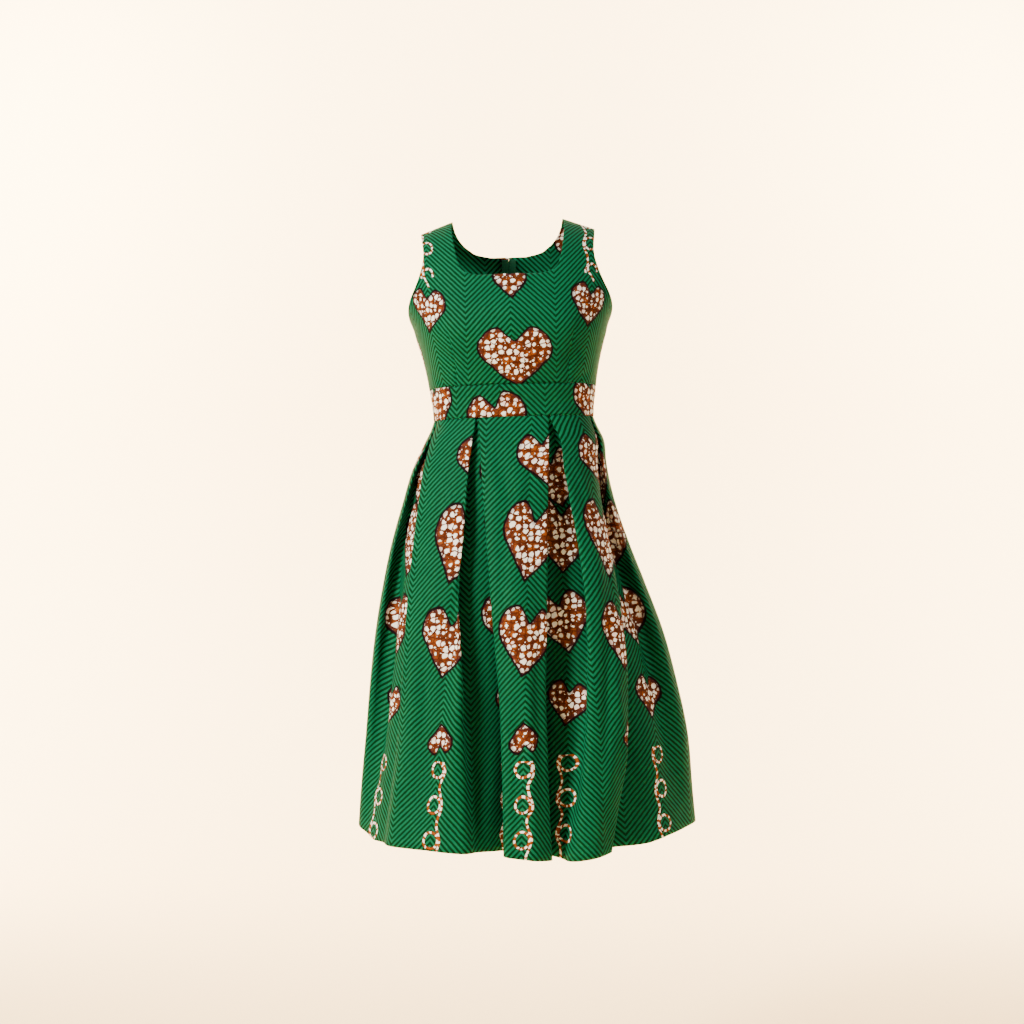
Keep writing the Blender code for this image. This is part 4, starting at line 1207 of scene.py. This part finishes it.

# %% [markdown]
# ## Zip and finishes
# The back closes with a concealed zip.  Its tapes, slider and pull tab are right as solids, so they
# stay and only get a better finish.  The tape is a twill, drawn by the weave's group on slanted
# coordinates, and its colour is painted darker in the hollows of the weave as painted shade.

# %% Zip tape
tape, pen, shader = new_material("zip_tape", 0.8, 0.2)
space = pen.node("ShaderNodeTexCoord")
split = pen.node("ShaderNodeSeparateXYZ")
pen.wire(split.inputs[0], space.outputs["Object"])
across = pen.math("MULTIPLY", split.outputs[0], 1000.0)
down = pen.math("MULTIPLY", split.outputs[2], 1000.0)
twill = pen.group(weave, U=pen.math("ADD", across, pen.math("MULTIPLY", down, 0.5)), V=down,
                  Thread=0.55)
# painted shade: the tape's colour goes darker where the twill's height is low, in the hollows of
# the weave
pen.wire(shader.inputs["Base Color"], pen.mix(pen.math("MULTIPLY", twill["Height"], 0.6),
                                              shade(14, 66, 44), shade(26, 104, 70)))
bump = pen.node("ShaderNodeBump")
bump.inputs["Strength"].default_value = 0.4
bump.inputs["Distance"].default_value = 0.0002
pen.wire(bump.inputs["Height"], twill["Height"])
pen.wire(shader.inputs["Normal"], bump.outputs["Normal"])

print("tape:", len(tape.node_tree.nodes), "nodes")

# %% [markdown]
# The slider and its tab are enamelled green, and rubbed to bare metal in small specks where
# fingers have worn them.

# %% Enamel
enamel, pen, shader = new_material("zip_enamel", 0.32)
space = pen.node("ShaderNodeTexCoord")
rubbed = pen.node("ShaderNodeTexNoise")
pen.wire(rubbed.inputs["Vector"], space.outputs["Object"])
rubbed.inputs["Scale"].default_value = 900.0
rubbed.inputs["Detail"].default_value = 4.0
wear = pen.soft(rubbed.outputs["Fac"], 0.62, 0.72)
pen.wire(shader.inputs["Base Color"], pen.mix(wear, shade(22, 96, 62), shade(150, 146, 130)))
pen.wire(shader.inputs["Metallic"], pen.math("MULTIPLY", wear, 0.9))
for name, finish in (("zip_tape_left", tape), ("zip_tape_right", tape),
                     ("zip_slider", enamel), ("zip_pull", enamel)):
    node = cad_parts[name]
    node.data.materials.clear()
    node.data.materials.append(finish)
print("enamel:", len(enamel.node_tree.nodes), "nodes")

# %% [markdown]
# ## Sewing
# The hem and the cut edges are turned in and stitched through with green thread.  A texture
# could draw the stitches, but they would not catch the light, so each is a small spindle, half
# sunk in the cloth.  There are a thousand of them, so a spindle has only two dozen faces.

# %% Sewing thread
STITCH, STITCH_STEP, THREAD = 0.0026, 0.0033, 0.00032

thread, pen, shader = new_material("sewing_thread", 0.75)
space = pen.node("ShaderNodeTexCoord")
split = pen.node("ShaderNodeSeparateXYZ")
pen.wire(split.inputs[0], space.outputs["Object"])
ply = pen.group(weave, U=pen.math("MULTIPLY", split.outputs[0], 1000.0),
                V=pen.math("MULTIPLY", split.outputs[2], 1000.0), Thread=0.25)
# painted shade: the thread's colour goes darker where the ply's height is low, in the hollows
# between its plies
pen.wire(shader.inputs["Base Color"], pen.mix(ply["Height"], shade(2, 40, 18), shade(12, 74, 46)))
print("thread %.2f mm thick" % (1000 * THREAD))

# %% [markdown]
# A spindle is a small sphere, stretched along the row, across it and away from the cloth.  A
# bmesh grows slow when it is large, so each few dozen are made apart and gathered in a whole.

# %% Spindles along a line
BATCH = 2000               # vertices made before they are moved to the whole
SPINDLE_RINGS, SPINDLE_SIDES = 4, 6


def spindles(name, lines, step, size, material):
    """Sets rows of small spindles along lines on the cloth, each given with its normals; size is
    half the length, width and height of a spindle."""
    mesh = bpy.data.meshes.new(name)
    whole = bmesh.new()
    for line, normals in lines:
        run = np.concatenate([[0], np.cumsum(np.linalg.norm(np.diff(line, axis=0), axis=1))])
        bm = bmesh.new()
        for place in (np.arange(int(run[-1] / step)) + 0.5) * step:
            if len(bm.verts) > BATCH:
                bm.to_mesh(mesh)
                whole.from_mesh(mesh)
                bm.clear()
            here, ahead = (Vector([np.interp(p, run, line[:, k]) for k in range(3)])
                           for p in (place, place + 0.0004))
            up = Vector([np.interp(place, run, normals[:, k]) for k in range(3)]).normalized()
            way = (ahead - here).normalized()
            side = up.cross(way).normalized()
            turned = Matrix((way * size[0], side * size[1], up * size[2])).transposed()
            bmesh.ops.create_uvsphere(
                bm, u_segments=SPINDLE_SIDES, v_segments=SPINDLE_RINGS, radius=1,
                matrix=LEAN @ Matrix.Translation(here) @ turned.to_4x4())
        bm.to_mesh(mesh)
        whole.from_mesh(mesh)
        bm.free()
    bmesh.ops.recalc_face_normals(whole, faces=whole.faces)
    whole.to_mesh(mesh)
    whole.free()
    mesh.shade_smooth()
    mesh.materials.append(material)
    row = bpy.data.objects.new(name, mesh)
    bpy.context.scene.collection.objects.link(row)
    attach(row, "dress")
    print("%s: %d spindles" % (name, len(mesh.polygons) // (SPINDLE_RINGS * SPINDLE_SIDES)))


# %% [markdown]
# A row of stitches keeps its distance from an edge.  Each column of the grid is searched for the
# place at that distance, and those places make the line.  The hem is stitched all round.

# %% Stitch the hem
def seam_line(points, normals, distance, wanted):
    """The line where each column's distance from its edge reaches the wanted value."""
    line, up = [], []
    for column in range(points.shape[1]):
        order = np.argsort(distance[:, column])
        away = distance[order, column]
        line.append([np.interp(wanted, away, points[order, column, k]) for k in range(3)])
        up.append([np.interp(wanted, away, normals[order, column, k]) for k in range(3)])
    line, up = np.array(line), np.array(up)
    return line + up * CLOTH / 2, up


STITCH_SIZE = (STITCH / 2, THREAD / 2, THREAD / 2)
for piece, points, cloth_u, cloth_v in skirt_pieces:
    deep = along(points, 0)
    low = slice(-14, None)
    line = seam_line(points[low], outward(points)[low], (deep[-1:, :] - deep)[low], HEM_DEPTH)
    spindles("hem_stitches_" + piece.name, [line], STITCH_STEP, STITCH_SIZE, thread)

# %% [markdown]
# The neck and the armholes are edge stitched.  Each half has three such edges: the armhole and
# the side of the neck, which run down the grid, and the bottom of the neck, which runs across.

# %% Stitch the neck and the armholes
EDGE_STITCH = 0.006        # distance of the stitches from the edge
edge_lines = {}
for name, points, way, hollow in bodice_halves:
    normals, run, deep = outward(points) * way, along(points, 1), along(points, 0)
    low = int((-points[:, -1, 2] < UNDERARM + 0.006).sum())
    arm, neck, under = slice(-16, None), slice(NECK_COLUMNS, NECK_COLUMNS + 12), slice(0, 25)
    lines = edge_lines.setdefault(name, [])
    for rows, columns, distance in ((slice(3, low), arm, run[:, -1:] - run),
                                    (slice(3, hollow + 2), neck,
                                     run - run[:, NECK_COLUMNS:NECK_COLUMNS + 1])):
        lines.append(seam_line(points[rows, columns].swapaxes(0, 1),
                               normals[rows, columns].swapaxes(0, 1),
                               distance[rows, columns].T, EDGE_STITCH))
    rows = slice(hollow, hollow + 12)
    lines.append(seam_line(points[rows, under], normals[rows, under],
                           (deep - deep[hollow:hollow + 1])[rows, under], EDGE_STITCH))
for name, lines in edge_lines.items():
    spindles("edge_stitches_" + name, lines, STITCH_STEP, STITCH_SIZE, thread)

# %% [markdown]
# The teeth of a concealed zip are a nylon coil behind the tapes.  Each turn of it is a spindle
# that lies across the seam.

# %% Zip coil
ZIP_FROM, ZIP_TO, COIL_PITCH, COIL_DEPTH = 0.064, 0.498, 0.0011, 0.0030
coil_green, pen, shader = new_material("zip_coil", 0.5)
shader.inputs["Base Color"].default_value = shade(10, 58, 38)
COIL_SIZE = (0.00042, 0.0013, 0.0004)      # half the size of a turn
COIL_MARKS = 60            # places at which the line of the coil is worked out
drops = np.linspace(ZIP_FROM, ZIP_TO, COIL_MARKS)
lower = WAIST + (drops - WAIST) * (HEM - WAIST) / (hem_drop(pi) - WAIST)
reach = np.array([section(float(drop))[3] for drop in np.where(drops > WAIST, lower, drops)])
slope = np.gradient(reach, drops)
size = np.hypot(1, slope)
centred = np.zeros(COIL_MARKS)
up = np.stack([centred, 1 / size, slope / size], axis=1)
line = np.stack([centred, reach + SEAM / 2, -drops], axis=1) - up * COIL_DEPTH
spindles("zip_coil", [(line, -up)], COIL_PITCH, COIL_SIZE, coil_green)

# %% [markdown]
# ## What each piece stands for
# The scene's cloth takes the place of the plain solids, and the size of the rectangle that each
# sheet was cut from, before darts and pleats were sewn, is printed with it.

def flat_area(piece):
    """Area of the middle surface of a piece, in square metres."""
    return sum(face.area for face in piece.data.polygons)


def declare(piece, node, flat):
    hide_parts(node)
    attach(piece, "dress")
    print("%s: cut from %.3f x %.3f m, %.4f m2" % (piece.name, *flat, flat_area(piece)))


SIDES = ("front", "back_left", "back_right")
declare(bodice_front, "bodice_front", (0.440, 0.330))
for piece, side in zip(back_pieces, SIDES[1:]):
    declare(piece, "bodice_" + side, (0.215, 0.300))
for piece, side, length in zip(band_pieces, SIDES, (0.352, 0.176, 0.176)):
    declare(piece, "waistband_" + side, (length, 0.050))
for (piece, points, cloth_u, cloth_v), side in zip(skirt_pieces, SIDES):
    declare(piece, "skirt_" + side, (float(np.ptp(cloth_u)), float(np.ptp(cloth_v)) + HEM_DEPTH))

# %% [markdown]
# ## The studio
# The dress stands before a pale paper sweep that curves up from the floor, so there is no
# horizon.  Its section is drawn once and extruded to the paper's width.

# %% Paper sweep
paper, pen, shader = new_material("sweep_paper", 0.9)
shader.inputs["Base Color"].default_value = shade(252, 222, 172)

FLOOR, PAPER = -1.47, 12.0    # height of the floor and width of the paper
BEND_START, BEND_RADIUS = 2.0, 1.4
PAPER_FRONT, PAPER_TOP = -3.5, 4.5
bend = [(BEND_START + BEND_RADIUS * sin(a), FLOOR + BEND_RADIUS - BEND_RADIUS * cos(a))
        for a in np.linspace(0.1, pi / 2, 16)]
outline = [(PAPER_FRONT, FLOOR), (BEND_START, FLOOR)] + bend
outline += [(BEND_START + BEND_RADIUS, PAPER_TOP)]
bm = bmesh.new()
profile = [bm.verts.new((-PAPER / 2, y, z)) for y, z in outline]
edges = [bm.edges.new(pair) for pair in zip(profile, profile[1:])]
made = bmesh.ops.extrude_edge_only(bm, edges=edges)
moved = [item for item in made["geom"] if isinstance(item, bmesh.types.BMVert)]
bmesh.ops.translate(bm, verts=moved, vec=(PAPER, 0, 0))
bmesh.ops.recalc_face_normals(bm, faces=bm.faces)
mesh = bpy.data.meshes.new("paper_sweep")
bm.to_mesh(mesh)
bm.free()
mesh.shade_smooth()
mesh.materials.append(paper)
sweep = bpy.data.objects.new("paper_sweep", mesh)
bpy.context.scene.collection.objects.link(sweep)
print("sweep:", len(mesh.polygons), "faces")


# %% [markdown]
# The key light comes from the left, a little from above, so that every pleat has a lit side and
# a dark one, and a weak light on the right keeps the valleys from going black.  Three lamps
# light the paper alone, and are turned away from the dress, or its sides would look veiled.

# %% Lamps
def soft_light(name, place, aim, size, power, colour=(1, 1, 1)):
    lamp = bpy.data.lights.new(name, "AREA")
    lamp.shape = "RECTANGLE"
    lamp.size, lamp.size_y = size
    lamp.energy = power
    lamp.color = colour
    holder = bpy.data.objects.new(name, lamp)
    holder.location = place
    holder.rotation_euler = (Vector(aim) - Vector(place)).to_track_quat("-Z", "Y").to_euler()
    bpy.context.scene.collection.objects.link(holder)


soft_light("key_left", (-2.6, -2.5, 1.1), (0, 0, -0.45), (0.7, 0.9), 335, (1.0, 0.98, 0.95))
soft_light("fill_right", (3.1, -1.6, 0.5), (0, 0, -0.5), (0.7, 1.0), 62, (1.0, 0.97, 0.94))
soft_light("overhead", (0, -0.9, 2.2), (0, 0.1, -0.6), (1.6, 1.2), 14, (1.0, 0.98, 0.95))
soft_light("sweep_left", (-2.2, 2.0, 0.5), (-1.0, 3.4, -0.4), (0.8, 2.6), 390, (1.0, 0.95, 0.85))
soft_light("sweep_right", (2.2, 2.0, 0.5), (1.0, 3.4, -0.4), (0.8, 2.6), 350, (1.0, 0.94, 0.83))
soft_light("sweep_top", (0, 1.5, 2.6), (0, 3.4, 1.0), (2.8, 0.8), 400, (1.0, 0.95, 0.86))

world = bpy.data.worlds.new("studio_air")
world.use_nodes = True
world.node_tree.nodes["Background"].inputs["Color"].default_value = (1.0, 0.95, 0.88, 1)
world.node_tree.nodes["Background"].inputs["Strength"].default_value = 0.05
bpy.context.scene.world = world
print("lamps:", len(bpy.data.lights))

# %% [markdown]
# A long lens from the front, level with the middle of the dress, keeps the hem and the shoulders
# nearly parallel.

# %% Camera
lens = bpy.data.cameras.new("camera")
lens.lens, lens.sensor_width = 59.0, 36.0
camera = bpy.data.objects.new("camera", lens)
camera.location = (0.007, -2.6, -0.451)
camera.rotation_euler = (pi / 2, 0, 0)
bpy.context.scene.collection.objects.link(camera)
bpy.context.scene.camera = camera
print("camera %.1f m in front" % -camera.location.y)
